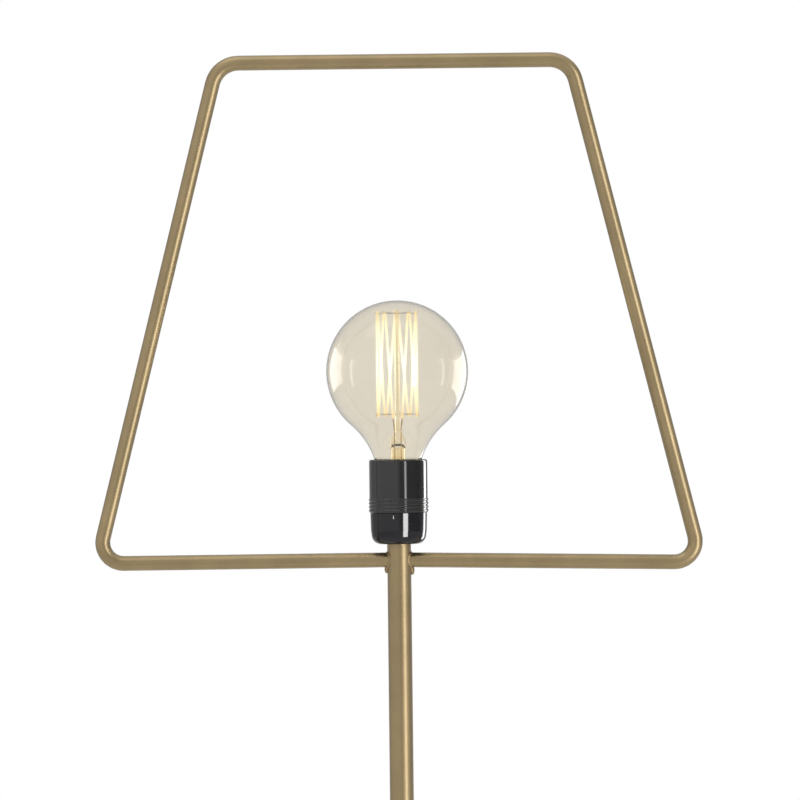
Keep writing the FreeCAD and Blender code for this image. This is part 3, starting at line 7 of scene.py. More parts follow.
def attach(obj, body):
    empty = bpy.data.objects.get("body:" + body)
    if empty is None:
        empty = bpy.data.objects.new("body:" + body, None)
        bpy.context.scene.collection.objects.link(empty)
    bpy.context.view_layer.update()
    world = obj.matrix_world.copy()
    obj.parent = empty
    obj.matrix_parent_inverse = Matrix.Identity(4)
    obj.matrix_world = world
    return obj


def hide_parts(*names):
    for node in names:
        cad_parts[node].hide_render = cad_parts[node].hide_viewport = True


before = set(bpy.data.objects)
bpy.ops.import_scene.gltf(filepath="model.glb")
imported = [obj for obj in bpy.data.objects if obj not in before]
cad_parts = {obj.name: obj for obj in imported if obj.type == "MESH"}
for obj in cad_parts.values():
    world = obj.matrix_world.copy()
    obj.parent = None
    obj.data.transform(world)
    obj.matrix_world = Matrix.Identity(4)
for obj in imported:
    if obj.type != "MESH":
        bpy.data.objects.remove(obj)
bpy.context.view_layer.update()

# ---------------------------------------------------------------- base plate
# A round disc of 8 mm steel with a turned edge and a counterbore for the bolt below. It is
# sprayed like the rod and the pole in satin gold lacquer, with fine metal flake in it, the
# faint orange peel of a spray gun and a few nibs of dust.


def add_node(material, kind, **values):
    """adds a shader node and sets its properties and its inputs by their names"""
    node = material.node_tree.nodes.new(kind)
    for key, value in values.items():
        if key in node.bl_rna.properties:
            setattr(node, key, value)
        else:
            node.inputs[key.replace("_", " ")].default_value = value
    return node


def link(material, start, end):
    """joins (node, output) to (node, input)"""
    material.node_tree.links.new(start[0].outputs[start[1]], end[0].inputs[end[1]])


def new_finish(name, **values):
    """node material whose surface shader has these values; returns both"""
    material = bpy.data.materials.new(name)
    material.use_nodes = True
    shader = material.node_tree.nodes["Principled BSDF"]
    for key, value in values.items():
        shader.inputs[key.replace("_", " ")].default_value = value
    return material, shader


def placed(material, stretch=(1, 1, 1), shift=(0, 0, 0)):
    """the piece's own coordinates, in metres, moved and then stretched"""
    place = add_node(material, "ShaderNodeTexCoord")
    laid = add_node(material, "ShaderNodeMapping", Scale=stretch,
                    Location=[a * b for a, b in zip(shift, stretch)])
    link(material, (place, "Object"), (laid, "Vector"))
    return laid


def noise(material, scale, detail=4.0, roughness=0.55, stretch=(1, 1, 1)):
    """cloudy pattern with so many waves to the metre"""
    grain = add_node(material, "ShaderNodeTexNoise", Scale=scale, Detail=detail,
                     Roughness=roughness)
    link(material, (placed(material, stretch), "Vector"), (grain, "Vector"))
    return grain, "Fac"


def cells(material, scale, output="Color", stretch=(1, 1, 1)):
    """pattern of small cells, so many to the metre"""
    grain = add_node(material, "ShaderNodeTexVoronoi", Scale=scale)
    link(material, (placed(material, stretch), "Vector"), (grain, "Vector"))
    return grain, output


def spread(material, source, low, high, bottom=0.0, top=1.0):
    """turns the values from bottom to top into values from low to high"""
    step = add_node(material, "ShaderNodeMapRange", From_Min=bottom, From_Max=top, To_Min=low,
                    To_Max=high)
    link(material, source, (step, "Value"))
    return step, "Result"


def tones(material, source, stops):
    """colour for each value; stops are (value, colour)"""
    band = add_node(material, "ShaderNodeValToRGB")
    for number, (position, colour) in enumerate(stops):
        if number < 2:
            stop = band.color_ramp.elements[number]
            stop.position = position
        else:
            stop = band.color_ramp.elements.new(position)
        stop.color = (*colour, 1)
    link(material, source, (band, "Fac"))
    return band, "Color"


def blend(material, first, second, share):
    """mix of two values, with this share of the second"""
    mix = add_node(material, "ShaderNodeMix", data_type="FLOAT")
    mix.inputs["Factor"].default_value = share
    link(material, first, (mix, "A"))
    link(material, second, (mix, "B"))
    return mix, "Result"


def relief(material, shader, *layers):
    """bumps laid one on the other; each layer is its pattern and its depth in metres"""
    last = None
    for source, depth in layers:
        bump = add_node(material, "ShaderNodeBump", Strength=1.0, Distance=depth)
        link(material, source, (bump, "Height"))
        if last:
            link(material, (last, "Normal"), (bump, "Normal"))
        last = bump
    link(material, (last, "Normal"), (shader, "Normal"))


def gold_lacquer(name, deep, pale, gloss):
    """satin gold lacquer between a deep and a pale tone; gloss is its least roughness"""
    material, shader = new_finish(name, Metallic=0.88, Coat_Weight=0.6, Coat_Roughness=0.26)
    cloud = noise(material, 38, detail=3)
    flake = cells(material, 3400)
    peel = noise(material, 620, detail=2)
    nib = spread(material, cells(material, 150, "Distance"), 1, 0, 0.02, 0.11)
    tone = blend(material, cloud, flake, 0.3)
    link(material, tones(material, tone, [(0.3, deep), (0.7, pale)]), (shader, "Base Color"))
    link(material, spread(material, flake, gloss, gloss + 0.1), (shader, "Roughness"))
    relief(material, shader, (peel, 0.000010), (flake, 0.0000012), (nib, 0.000012))
    return material


def dress(node, material):
    """gives a CAD node its finish"""
    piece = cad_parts[node]
    piece.data.materials.clear()
    piece.data.materials.append(material)
    return piece


plate_gold = gold_lacquer("plate_gold", (0.30, 0.222, 0.108), (0.40, 0.30, 0.152), 0.30)
dress("base_plate", plate_gold)

# ---------------------------------------------------------------- floor pads
# Four round pads of black rubber, glued under the plate. Each is moulded with a soft lower
# edge and two grip rings, and picks up a little dust.


def lathe(spots, steps):
    """mesh turned round +Z from a section of (radius, height) in mm: a closed section makes
    a ring, and one that starts and ends on the axis makes a solid disc"""
    form = bmesh.new()
    corners = [form.verts.new((radius / 1000, 0, height / 1000)) for radius, height in spots]
    last = corners[:1] if spots[0][0] else []
    for start, end in zip(corners, corners[1:] + last):
        form.edges.new((start, end))
    bmesh.ops.spin(form, geom=form.verts[:] + form.edges[:], cent=(0, 0, 0), axis=(0, 0, 1),
                   angle=math.tau, steps=steps, use_merge=True)
    bmesh.ops.remove_doubles(form, verts=form.verts[:], dist=0.000001)
    bmesh.ops.recalc_face_normals(form, faces=form.faces[:])
    return form


def round_ring(form, radius, height, amount, segments):
    """rounds the ring edge at a radius and height, all in mm"""
    def near(corner):
        across = math.hypot(corner.co.x, corner.co.y) * 1000 - radius
        return abs(across) < 0.02 and abs(corner.co.z * 1000 - height) < 0.02

    ring = [edge for edge in form.edges if near(edge.verts[0]) and near(edge.verts[1])]
    bmesh.ops.bevel(form, geom=ring, offset=amount / 1000, offset_type="OFFSET",
                    segments=segments, profile=0.5, affect="EDGES", material=-1,
                    clamp_overlap=True)


def new_piece(name, form, material):
    """object of the finished form, in its place, smooth and with its finish"""
    mesh = bpy.data.meshes.new(name)
    form.to_mesh(mesh)
    form.free()
    piece = bpy.data.objects.new(name, mesh)
    bpy.context.scene.collection.objects.link(piece)
    mesh.materials.append(material)
    mesh.shade_smooth()
    even = piece.modifiers.new("even_shading", "WEIGHTED_NORMAL")
    even.keep_sharp = True
    return piece


pad_rubber, shader = new_finish("pad_rubber", Specular_IOR_Level=0.35)
speck = noise(pad_rubber, 2400, detail=3)
dust = noise(pad_rubber, 210, detail=5, roughness=0.7)
link(pad_rubber, tones(pad_rubber, dust, [(0.35, (0.018, 0.018, 0.018)),
                                          (0.75, (0.055, 0.052, 0.047))]),
     (shader, "Base Color"))
link(pad_rubber, spread(pad_rubber, dust, 0.62, 0.9), (shader, "Roughness"))
relief(pad_rubber, shader, (speck, 0.00003))

form = lathe([(0, 0.5), (5.3, 0.5), (5.3, 0), (6.7, 0), (6.7, 0.5), (8.0, 0.5), (8.0, 0),
              (10.0, 0), (10.0, 3.0), (0, 3.0)], 64)
round_ring(form, 10.0, 0, 0.7, 4)
for radius in (5.3, 6.7, 8.0):
    round_ring(form, radius, 0, 0.2, 2)
pad_circle, first_turn = 0.120, 45
bmesh.ops.translate(form, verts=form.verts[:], vec=(pad_circle, 0, 0))
bmesh.ops.rotate(form, verts=form.verts[:], cent=(0, 0, 0),
                 matrix=Matrix.Rotation(math.radians(first_turn), 3, "Z"))
first_pad = form.verts[:] + form.edges[:] + form.faces[:]
for turn in (90, 180, 270):
    copied = bmesh.ops.duplicate(form, geom=first_pad)["geom"]
    corners = [item for item in copied if isinstance(item, bmesh.types.BMVert)]
    bmesh.ops.rotate(form, verts=corners, cent=(0, 0, 0),
                     matrix=Matrix.Rotation(math.radians(turn), 3, "Z"))
pads = new_piece("rubber_pads", form, pad_rubber)
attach(pads, "lamp")
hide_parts("floor_pads")

# ---------------------------------------------------------------- bolt, washer and foot plug
# A zinc-plated button-head bolt goes up through the washer and the plate into a threaded
# plug of bare steel that is welded into the pole's foot.


def turned_metal(name, dark, light, gloss, ring_scale):
    """machined metal with fine rings round the lamp's axis and cloudy tarnish"""
    material, shader = new_finish(name, Metallic=1.0)
    rings = add_node(material, "ShaderNodeTexWave", wave_type="RINGS", rings_direction="Z",
                     Scale=ring_scale, Distortion=1.5, Detail=3.0)
    link(material, (placed(material), "Vector"), (rings, "Vector"))
    stain = noise(material, 260, detail=5, roughness=0.65)
    scratch = noise(material, 900, detail=3, stretch=(1, 1, 0.12))
    link(material, tones(material, blend(material, stain, (rings, "Fac"), 0.2),
                         [(0.3, dark), (0.7, light)]), (shader, "Base Color"))
    link(material, spread(material, blend(material, scratch, stain, 0.5), gloss, gloss + 0.22),
         (shader, "Roughness"))
    relief(material, shader, ((rings, "Fac"), 0.000004), (scratch, 0.000004))
    return material


zinc_steel = turned_metal("zinc_steel", (0.46, 0.49, 0.53), (0.66, 0.68, 0.69), 0.22, 700)
bare_steel = turned_metal("bare_steel", (0.30, 0.29, 0.28), (0.50, 0.49, 0.47), 0.34, 480)
dress("base_bolt", zinc_steel)
dress("base_washer", zinc_steel)
dress("pole_foot_plug", bare_steel)

# ---------------------------------------------------------------- pole
# A straight 16 mm steel tube in the same gold lacquer. The bush pressed into its top is bare
# steel, and the hollow nipple screwed through it is zinc plated.
pole_gold = gold_lacquer("pole_gold", (0.295, 0.216, 0.106), (0.375, 0.278, 0.140), 0.30)
dress("pole_tube", pole_gold)
dress("pole_top_bush", bare_steel)
dress("threaded_nipple", zinc_steel)

# ---------------------------------------------------------------- cable bush
# The bush that lines the cable hole at the back of the foot is moulded in black nylon, dull
# with the fine spark texture of its mould.
bush_plastic, shader = new_finish("bush_plastic", Specular_IOR_Level=0.45)
spark = noise(bush_plastic, 3800, detail=2)
shade = noise(bush_plastic, 300, detail=3)
link(bush_plastic, tones(bush_plastic, shade, [(0.3, (0.012, 0.012, 0.013)),
                                               (0.8, (0.026, 0.026, 0.027))]),
     (shader, "Base Color"))
link(bush_plastic, spread(bush_plastic, spark, 0.42, 0.62), (shader, "Roughness"))
relief(bush_plastic, shader, (spark, 0.000012))
dress("cable_grommet", bush_plastic)

# ---------------------------------------------------------------- shade outline
# One 10 mm steel rod, bent round a former at four corners and sprayed in gold. Its two ends
# are saddled against the pole.
rod_gold = gold_lacquer("rod_gold", (0.305, 0.224, 0.110), (0.395, 0.295, 0.150), 0.29)
dress("shade_frame", rod_gold)

# ---------------------------------------------------------------- welds
# Each rod end is welded all round to the pole by hand. The bead is thin and laid in small
# scallops, and a drip hangs from it below the rod. Its gold is a darker copy of the rod's,
# as painted shade where the rod ends meet the pole under the black lampholder.
weld_gold_painted_shade = gold_lacquer("weld_gold_painted_shade", (0.25, 0.172, 0.078), (0.37, 0.266, 0.128), 0.33)


def weld_bead(name, side, droop, node):
    """bead round one rod end: side is -1 left or 1 right, droop sets the size of its drip"""
    pole_half, rod_half, rod_level = 8.0, 5.0, 1160.0
    section, turns, scallops = 16, 168, 27
    form = bmesh.new()
    bmesh.ops.create_circle(form, cap_ends=False, segments=section, radius=1.0)
    bmesh.ops.rotate(form, verts=form.verts[:], cent=(0, 0, 0),
                     matrix=Matrix.Rotation(math.radians(90), 3, "X"))
    bmesh.ops.translate(form, verts=form.verts[:], vec=(0, 0, rod_half))
    bmesh.ops.spin(form, geom=form.verts[:] + form.edges[:], cent=(0, 0, 0), axis=(1, 0, 0),
                   angle=math.tau, steps=turns, use_merge=True)
    bmesh.ops.remove_doubles(form, verts=form.verts[:], dist=0.0001)
    for corner in form.verts:
        along, out = corner.co.x, math.hypot(corner.co.y, corner.co.z) - rod_half
        turn = math.atan2(corner.co.z, corner.co.y)
        low = max(0.0, -math.sin(turn))
        drip = droop * low ** 24
        scallop = 1 + 0.12 * abs(math.sin(scallops * turn / 2 + 0.9 * along))
        uneven = 1 + 0.10 * math.sin(3 * turn + side) + 0.07 * math.sin(5 * turn + 2)
        thick = (0.55 + 0.40 * low) * scallop * uneven
        reach = rod_half + 0.1 + 0.7 * drip + out * (thick + 0.8 * drip)
        depth = reach * math.cos(turn)
        against = math.sqrt(max(0.0, pole_half ** 2 - depth ** 2))
        stand = 0.15 + 0.12 * drip + along * (thick + 0.22 * drip)
        corner.co = Vector((side * (against + stand), depth,
                            rod_level + reach * math.sin(turn))) / 1000
    bmesh.ops.recalc_face_normals(form, faces=form.faces[:])
    bead = new_piece(name, form, weld_gold_painted_shade)
    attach(bead, "lamp")
    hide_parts(node)
    return bead


left_weld = weld_bead("left_weld", -1, 1.9, "weld_bead_left")
right_weld = weld_bead("right_weld", 1, 2.7, "weld_bead_right")

# ---------------------------------------------------------------- lampholder body
# Dome and skirt are moulded in black phenolic resin and polished, so they are glossy with a
# slight flow in the surface and hair-fine handling marks. The skirt screws into the dome. It
# has four rounded grip ridges above the joint and a round rim.


def black_resin(name, deep, pale, bend):
    """polished black resin; bend is its refractive index"""
    material, shader = new_finish(name, IOR=bend)
    flow = noise(material, 120, detail=3)
    mark = noise(material, 1500, detail=4, stretch=(1, 1, 0.08))
    link(material, tones(material, flow, [(0.3, deep), (0.7, pale)]), (shader, "Base Color"))
    link(material, spread(material, mark, 0.04, 0.13), (shader, "Roughness"))
    relief(material, shader, (flow, 0.000006), (mark, 0.0000004))
    return material


holder_black = black_resin("holder_black", (0.009, 0.009, 0.010), (0.014, 0.0135, 0.0145), 1.60)
# The dome's resin is a darker copy of the skirt's, with a lower refractive index: painted shade on
# the dome.
dome_black_painted_shade = black_resin("dome_black_painted_shade", (0.003, 0.003, 0.004), (0.006, 0.0055, 0.007), 1.45)
dress("lampholder_dome", dome_black_painted_shade)

pole_top = 1170.7
joint, rim = pole_top + 21.1, pole_top + 56.5
skirt_half, skirt_bore, spigot_half, spigot_bore = 19.5, 17.0, 17.0, 15.2
ridge_crest, ridge_low, ridge_pitch = 20.0, joint + 1.3, 2.4
foot_half, crest_half = 0.8, 0.3
spots = [(spigot_bore, pole_top + 17.15), (spigot_half, pole_top + 17.15), (spigot_half, joint),
         (skirt_half, joint)]
ridge_edges = []
for ridge in range(4):
    level = ridge_low + ridge * ridge_pitch
    ridge_edges += [(skirt_half, level - foot_half), (ridge_crest, level - crest_half),
                    (ridge_crest, level + crest_half), (skirt_half, level + foot_half)]
spots += ridge_edges
spots += [(skirt_half, rim), (skirt_bore, rim), (skirt_bore, joint + 1.4),
          (spigot_bore, joint + 1.4)]
form = lathe(spots, 192)
for radius, height in ridge_edges:
    round_ring(form, radius, height, 0.2, 2)
round_ring(form, skirt_half, rim, 1.4, 6)
round_ring(form, skirt_bore, rim, 0.4, 3)
round_ring(form, skirt_half, joint, 0.25, 2)
skirt = new_piece("holder_skirt", form, holder_black)
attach(skirt, "lamp")
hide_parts("lampholder_skirt")

# ---------------------------------------------------------------- lampholder inside
# A turned steel insert with its grub screw holds the dome on the nipple. A glazed porcelain
# block carries the brass terminals, the springy centre contact and the rolled screw shell.
porcelain, shader = new_finish("porcelain", Coat_Weight=0.6, Coat_Roughness=0.05,
                               Subsurface_Weight=0.1, Subsurface_Scale=0.001)
glaze = noise(porcelain, 160, detail=3)
pit = spread(porcelain, cells(porcelain, 900, "Distance"), 0, 1, 0.02, 0.12)
link(porcelain, tones(porcelain, blend(porcelain, glaze, pit, 0.5),
                      [(0.25, (0.62, 0.56, 0.46)), (0.7, (0.84, 0.81, 0.74))]),
     (shader, "Base Color"))
link(porcelain, spread(porcelain, glaze, 0.12, 0.3), (shader, "Roughness"))
relief(porcelain, shader, (pit, 0.00001))


def sheet_brass(name, dark, light, gloss, drawn):
    """drawn or rolled brass with brown tarnish; drawn stretches its fine lines"""
    material, shader = new_finish(name, Metallic=1.0)
    stain = noise(material, 190, detail=6, roughness=0.7)
    line = noise(material, 1300, detail=3, stretch=drawn)
    link(material, tones(material, blend(material, stain, line, 0.25),
                         [(0.28, dark), (0.55, light), (0.8, tuple(0.9 * c for c in light))]),
         (shader, "Base Color"))
    link(material, spread(material, blend(material, line, stain, 0.5), gloss, gloss + 0.25),
         (shader, "Roughness"))
    relief(material, shader, (line, 0.000003))
    return material


contact_brass = sheet_brass("contact_brass", (0.42, 0.27, 0.10), (0.72, 0.53, 0.25), 0.22,
                            (0.15, 1, 1))
shell_brass = sheet_brass("shell_brass", (0.40, 0.27, 0.11), (0.70, 0.54, 0.28), 0.20,
                          (1, 1, 0.1))
dress("dome_thread_insert", zinc_steel)
dress("dome_grub_screw", bare_steel)
dress("insulator_block", porcelain)
dress("screw_shell", shell_brass)
for node in ("shell_terminal", "centre_terminal", "centre_contact", "shell_rivet",
             "centre_rivet"):
    dress(node, contact_brass)
dress("terminal_screws", zinc_steel)

# ---------------------------------------------------------------- lead inside the pole
# A round lead in a black PVC sheath with two coloured cores. The sheath is dull and slightly
# lined along its length, and each core ends in a tinned ferrule.


def drawn_plastic(name, deep, pale, gloss):
    """extruded soft plastic with faint lines along the lead"""
    material, shader = new_finish(name, Specular_IOR_Level=0.4)
    line = noise(material, 1600, detail=2, stretch=(1, 1, 0.05))
    scuff = noise(material, 240, detail=5, roughness=0.7)
    link(material, tones(material, blend(material, line, scuff, 0.6),
                         [(0.3, deep), (0.7, pale)]), (shader, "Base Color"))
    link(material, spread(material, scuff, gloss, gloss + 0.2), (shader, "Roughness"))
    relief(material, shader, (line, 0.00001))
    return material


dress("inner_lead", drawn_plastic("lead_sheath", (0.014, 0.014, 0.015), (0.03, 0.03, 0.031),
                                  0.38))
dress("core_neutral", drawn_plastic("core_blue", (0.02, 0.09, 0.34), (0.05, 0.16, 0.46), 0.32))
dress("core_live", drawn_plastic("core_brown", (0.10, 0.045, 0.02), (0.17, 0.08, 0.035), 0.32))
dress("wire_ferrules", turned_metal("ferrule_tin", (0.45, 0.46, 0.47), (0.70, 0.71, 0.71), 0.3,
                                    600))

# ---------------------------------------------------------------- bulb glass
# A blown globe with an amber coat on clear glass. The wall wavers a little as blown glass
# does, the coat has a slight haze, and it looks deeper where the wall is seen edge on.


def clear_glass(name, face_on, edge_on, rim, bend, haze, blown):
    """glass of refractive index bend; blown is the depth of its slow waves in metres"""
    material, shader = new_finish(name, Roughness=haze, Transmission_Weight=1.0, IOR=bend)
    facing = add_node(material, "ShaderNodeLayerWeight", Blend=0.5)
    link(material, tones(material, (facing, "Facing"),
                         [(0.5, face_on), (0.75, edge_on), (0.92, rim)]),
         (shader, "Base Color"))
    relief(material, shader, (noise(material, 26, detail=1), blown))
    return material


amber_glass = clear_glass("amber_glass", (0.853, 0.815, 0.737), (0.82, 0.775, 0.70),
                          (0.55, 0.52, 0.48), 1.47, 0.08, 0.00005)
# The stem's warm yellow tint is painted glow from the filament, deepest where its glass is seen
# edge on.
stem_glass = clear_glass("stem_glass", (0.985, 0.92, 0.74), (0.95, 0.82, 0.54),
                         (0.90, 0.70, 0.36), 1.32, 0.0, 0.00002)
dress("bulb_glass", amber_glass)

# ---------------------------------------------------------------- bulb cap
# A thin brass cap with a rolled thread, closed below by black glass with a drop of dull
# solder in its middle as the contact.
cap_brass = sheet_brass("cap_brass", (0.46, 0.32, 0.14), (0.76, 0.60, 0.33), 0.18, (1, 1, 0.1))
cap_black_glass, shader = new_finish("cap_black_glass", IOR=1.55)
swirl = noise(cap_black_glass, 340, detail=4)
link(cap_black_glass, tones(cap_black_glass, swirl, [(0.3, (0.006, 0.006, 0.008)),
                                                     (0.7, (0.018, 0.016, 0.020))]),
     (shader, "Base Color"))
link(cap_black_glass, spread(cap_black_glass, swirl, 0.05, 0.16), (shader, "Roughness"))
relief(cap_black_glass, shader, (swirl, 0.00002))
solder, shader = new_finish("solder", Metallic=1.0)
lump = noise(solder, 700, detail=4)
link(solder, tones(solder, lump, [(0.3, (0.34, 0.34, 0.35)), (0.7, (0.60, 0.60, 0.61))]),
     (shader, "Base Color"))
link(solder, spread(solder, lump, 0.3, 0.55), (shader, "Roughness"))
relief(solder, shader, (lump, 0.00006))
dress("bulb_cap", cap_brass)
dress("cap_insulator", cap_black_glass)
dress("bulb_tip_contact", solder)

# ---------------------------------------------------------------- stem, hooks and lead-in wires
# The stem is clear glass, tinted warm yellow as painted glow from the filament, most where it is
# seen edge on. Its hooks are thin dark molybdenum wire melted into the two buttons, and the
# lead-in wires are nickel, coloured warm yellow as painted glow from the filament.


def drawn_wire(name, dark, light, gloss):
    """fine drawn wire, cloudy from the heat"""
    material, shader = new_finish(name, Metallic=1.0)
    heat = noise(material, 420, detail=4)
    line = noise(material, 4200, detail=2, stretch=(1, 1, 0.2))
    link(material, tones(material, heat, [(0.3, dark), (0.7, light)]), (shader, "Base Color"))
    link(material, spread(material, line, gloss, gloss + 0.2), (shader, "Roughness"))
    relief(material, shader, (line, 0.000004))
    return material


dress("bulb_stem", stem_glass)
dress("filament_hooks", drawn_wire("hook_metal", (0.16, 0.13, 0.11), (0.32, 0.28, 0.24), 0.3))
# The lead-in wires' warm yellow is painted glow from the filament.
dress("lead_in_wires", drawn_wire("lead_in_metal", (0.52, 0.38, 0.22), (0.78, 0.62, 0.40), 0.25))

# ---------------------------------------------------------------- filament
# One long wire wound to a fine coil and hung zigzag round the cage on nine hooks. It is lit:
# pale yellow along its runs, and more orange where the hooks take its heat away.
bulb_tip = 1193.6
cage_low, cage_high, cage_half = bulb_tip + 63.9, bulb_tip + 131.6, 13.8
hook_bend, end_spread, end_drop = 0.8, 3.1, 2.7
coil_half, coil_wire, coil_pitch, coil_points = 0.76, 0.32, 0.66, 8


def on_cage(degrees, height):
    """point on the filament's circle; 0 degrees is the front, left is negative"""
    turn = math.radians(degrees)
    return Vector((cage_half * math.sin(turn), -cage_half * math.cos(turn), height))


end_turn = math.degrees(math.asin(end_spread / cage_half))
sideways = cage_half * math.sin(math.pi / 5)
upright = cage_high - cage_low
lean = math.atan(sideways / upright) - math.asin(2 * hook_bend / math.hypot(sideways, upright))
beyond = hook_bend / math.sin(lean)
corners = [on_cage(-end_turn, cage_low - end_drop)]
for turn in range(1, 10):
    level = cage_high + beyond if turn % 2 else cage_low - beyond
    corners.append(on_cage(-36 * turn, level))
corners.append(on_cage(end_turn, cage_low - end_drop))
line = [corners[0]]
for before, corner, after in zip(corners, corners[1:], corners[2:]):
    back, ahead = (before - corner).normalized(), (after - corner).normalized()
    half = back.angle(ahead) / 2
    middle = corner + (back + ahead).normalized() * (hook_bend / math.sin(half))
    start = corner + back * (hook_bend / math.tan(half)) - middle
    end = corner + ahead * (hook_bend / math.tan(half)) - middle
    line += [middle + start.slerp(end, step / 12) for step in range(13)]
line.append(corners[-1])
travel = [0.0]
for start, end in zip(line, line[1:]):
    travel.append(travel[-1] + (end - start).length)
winding = []
run = 0
count = int(travel[-1] / coil_pitch * coil_points)
for number in range(count + 1):
    distance = travel[-1] * number / count
    while run < len(line) - 2 and travel[run + 1] < distance:
        run += 1
    heading = (line[run + 1] - line[run]).normalized()
    spot = line[run] + heading * (distance - travel[run])
    outward = Vector((spot.x, spot.y, 0))
    outward = (outward - heading * outward.dot(heading)).normalized()
    aside = heading.cross(outward)
    turn = math.tau * number / coil_points
    winding.append((spot + coil_half * (math.cos(turn) * outward + math.sin(turn) * aside)) / 1000)
wire = bpy.data.curves.new("filament_winding", "CURVE")
wire.dimensions = "3D"
wire.bevel_depth = coil_wire / 2 / 1000
wire.bevel_resolution = 0
wire.use_fill_caps = True
spline = wire.splines.new("POLY")
spline.points.add(len(winding) - 1)
spline.points.foreach_set("co", [value for point in winding for value in (*point, 1)])
wound = bpy.data.objects.new("filament_winding", wire)
coil = bpy.data.objects.new("filament_coil", bpy.data.meshes.new_from_object(wound))
bpy.data.objects.remove(wound)
bpy.context.scene.collection.objects.link(coil)
glow, shader = new_finish("filament_glow", Roughness=0.6)
middle_height = (cage_low + cage_high) / 2 / 1000
height = add_node(glow, "ShaderNodeSeparateXYZ")
link(glow, (placed(glow, shift=(0, 0, -middle_height)), "Vector"), (height, "Vector"))
from_middle = add_node(glow, "ShaderNodeMath", operation="ABSOLUTE")
link(glow, (height, "Z"), (from_middle, 0))
heat = spread(glow, (from_middle, "Value"), 1, 0, 0.004, upright / 2 / 1000)
flicker = noise(glow, 90, detail=2)
link(glow, tones(glow, flicker, [(0.3, (0.03, 0.028, 0.026)), (0.7, (0.06, 0.055, 0.05))]),
     (shader, "Base Color"))
link(glow, tones(glow, heat, [(0.0, (1.0, 0.78, 0.36)), (0.25, (1.0, 0.90, 0.54)),
                              (1.0, (1.0, 0.95, 0.72))]), (shader, "Emission Color"))
link(glow, spread(glow, heat, 1.2, 2.1), (shader, "Emission Strength"))
coil.data.materials.clear()
coil.data.materials.append(glow)
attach(coil, "bulb")
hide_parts("filament")

# ---------------------------------------------------------------- floor
# A pale studio floor that runs into the white of the room a metre or two from the lamp.
floor_form = bmesh.new()
bmesh.ops.create_circle(floor_form, cap_ends=True, segments=96, radius=6.0)
floor_mesh = bpy.data.meshes.new("floor")
floor_form.to_mesh(floor_mesh)
floor_form.free()
floor = bpy.data.objects.new("floor", floor_mesh)
bpy.context.scene.collection.objects.link(floor)
floor_pale, shader = new_finish("floor_pale", Roughness=0.75)
patch = noise(floor_pale, 3, detail=4)
link(floor_pale, tones(floor_pale, patch, [(0.3, (0.80, 0.80, 0.79)), (0.7, (0.85, 0.85, 0.84))]),
     (shader, "Base Color"))
white = add_node(floor_pale, "ShaderNodeEmission")
seen = add_node(floor_pale, "ShaderNodeLightPath")
distance = add_node(floor_pale, "ShaderNodeVectorMath", operation="LENGTH")
link(floor_pale, (placed(floor_pale), "Vector"), (distance, 0))
far = spread(floor_pale, (distance, "Value"), 0, 1, 0.7, 2.6)
direct = add_node(floor_pale, "ShaderNodeMath", operation="MAXIMUM")
link(floor_pale, (seen, "Is Camera Ray"), (direct, 0))
link(floor_pale, (seen, "Is Transmission Ray"), (direct, 1))
away = add_node(floor_pale, "ShaderNodeMath", operation="MULTIPLY")
link(floor_pale, far, (away, 0))
link(floor_pale, (direct, "Value"), (away, 1))
join = add_node(floor_pale, "ShaderNodeMixShader")
link(floor_pale, (away, "Value"), (join, "Fac"))
link(floor_pale, (shader, "BSDF"), (join, 1))
link(floor_pale, (white, "Emission"), (join, 2))
link(floor_pale, (join, "Shader"),
     (floor_pale.node_tree.nodes["Material Output"], "Surface"))
floor.data.materials.append(floor_pale)

# ---------------------------------------------------------------- room
# White to the camera and through glass. The walls that light the lamp are pale in front on
# its left, grey behind it and dark on its right, which gives the rods their shaded side.
world = bpy.data.worlds.new("studio")
world.use_nodes = True
bpy.context.scene.world = world
sky = world.node_tree.nodes["Background"]
sky.inputs["Color"].default_value = (1, 1, 1, 1)
direction = add_node(world, "ShaderNodeTexCoord")
around = add_node(world, "ShaderNodeTexGradient", gradient_type="RADIAL")
link(world, (direction, "Generated"), (around, "Vector"))


def bearing(degrees):
    """place on the wall: 0 is the camera, positive to its right, as seen from the lamp"""
    return (0.25 + degrees / 360) % 1


levels = [(-89, 0.80), (-20, 0.86), (-4, 0.84), (8, 0.36), (60, 0.30), (90, 0.20), (125, 0.5),
          (179, 0.45), (-125, 0.45), (-95, 0.78)]
wall = tones(world, (around, "Fac"),
             [(bearing(degrees), (level, level, level)) for degrees, level in levels])
upward = add_node(world, "ShaderNodeSeparateXYZ")
link(world, (direction, "Generated"), (upward, "Vector"))
steep = add_node(world, "ShaderNodeMath", operation="ABSOLUTE")
link(world, (upward, "Z"), (steep, 0))
room = add_node(world, "ShaderNodeMix", data_type="FLOAT", B=0.8)
link(world, spread(world, (steep, "Value"), 0, 1, 0.5, 0.8), (room, "Factor"))
link(world, wall, (room, "A"))
path = add_node(world, "ShaderNodeLightPath")
direct = add_node(world, "ShaderNodeMath", operation="MAXIMUM")
link(world, (path, "Is Camera Ray"), (direct, 0))
link(world, (path, "Is Transmission Ray"), (direct, 1))
shown = add_node(world, "ShaderNodeMix", data_type="FLOAT", B=1.0)
link(world, (direct, "Value"), (shown, "Factor"))
link(world, (room, "Result"), (shown, "A"))
link(world, (shown, "Result"), (sky, "Strength"))

# ---------------------------------------------------------------- softboxes
# Tall boxes right of the camera draw the bright line along rods and lampholder, and others
# stand behind the lamp for the windows in the glass. Each lights only the pieces it is for.


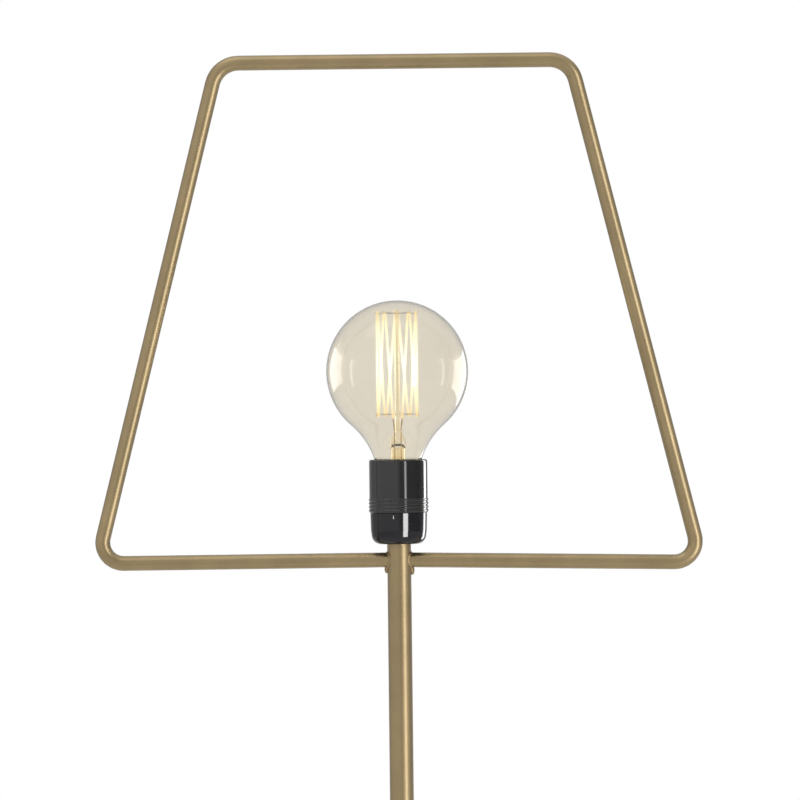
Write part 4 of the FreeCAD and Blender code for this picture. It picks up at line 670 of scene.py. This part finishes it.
def softbox(name, size, spot, aim, level, lit=()):
    """rectangular lamp; level is how bright its face looks, where 1 is white"""
    light = bpy.data.lights.new(name, "AREA")
    light.shape = "RECTANGLE"
    light.size, light.size_y = size
    light.energy = level * math.pi * size[0] * size[1]
    box = bpy.data.objects.new(name, light)
    bpy.context.scene.collection.objects.link(box)
    box.location = spot
    box.rotation_euler = (Vector(aim) - Vector(spot)).to_track_quat("-Z", "Y").to_euler()
    box.visible_camera = False
    if lit:
        group = bpy.data.collections.new(name + "_lit")
        for piece in lit:
            group.objects.link(piece)
        box.light_linking.receiver_collection = group


def at_bearing(degrees, away, height):
    """spot in the room at a bearing from the lamp, 0 towards the camera"""
    turn = math.radians(degrees)
    return (away * math.sin(turn), -away * math.cos(turn), height)


gold = [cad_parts["shade_frame"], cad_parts["pole_tube"], left_weld, right_weld]
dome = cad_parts["lampholder_dome"]
glass = [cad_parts[node] for node in ("bulb_glass", "bulb_stem")]
middle = (0, 0, 1.25)
softbox("overhead", (1.6, 1.6), (-0.5, -0.4, 3.2), (0, 0, 1.0), 0.6)
softbox("floor_light", (2.4, 2.4), (-0.6, -0.6, 3.0), (0, 0, 0), 1.5, [floor])
softbox("gold_fill", (3.4, 2.4), at_bearing(56, 2.1, 1.3), middle, 0.45, gold)
softbox("gold_line", (0.75, 2.4), at_bearing(48, 2.0, 1.3), middle, 2.9, gold)
softbox("skirt_line", (0.30, 1.9), at_bearing(28, 2.2, 1.25), middle, 5.2, [skirt] + glass)
softbox("dome_line", (0.75, 1.9), at_bearing(28, 2.2, 1.25), middle, 20, [dome])
softbox("holder_edge", (0.45, 1.6), at_bearing(130, 1.5, 1.25), middle, 9, [dome, skirt])
softbox("left_window", (1.05, 0.75), at_bearing(-121, 1.5, 1.34), (0, 0, 1.3), 1.5, glass)
softbox("right_window", (1.3, 0.75), at_bearing(128, 1.5, 1.18), (0, 0, 1.28), 1.7, glass)
for side in (-1, 1):
    softbox("glass_line", (0.14, 0.9), at_bearing(80 * side, 1.5, 1.25), (0, 0, 1.28), 2.0, glass)

# ---------------------------------------------------------------- camera
# It looks level at the lamp's upper half from the front, and is tilted a little, as the
# photograph is.
camera_data = bpy.data.cameras.new("camera")
camera = bpy.data.objects.new("camera", camera_data)
bpy.context.scene.collection.objects.link(camera)
bpy.context.scene.camera = camera
distance, view_width, eye_level, aside, tilt = 2.7, 0.536, 1.267, 0.0017, 0.64
camera_data.sensor_width = 36
camera_data.lens = camera_data.sensor_width * distance / view_width
camera.location = (aside, -distance, eye_level)
camera.rotation_euler = (math.pi / 2, math.radians(tilt), 0)
bpy.context.scene.view_settings.view_transform = "Standard"
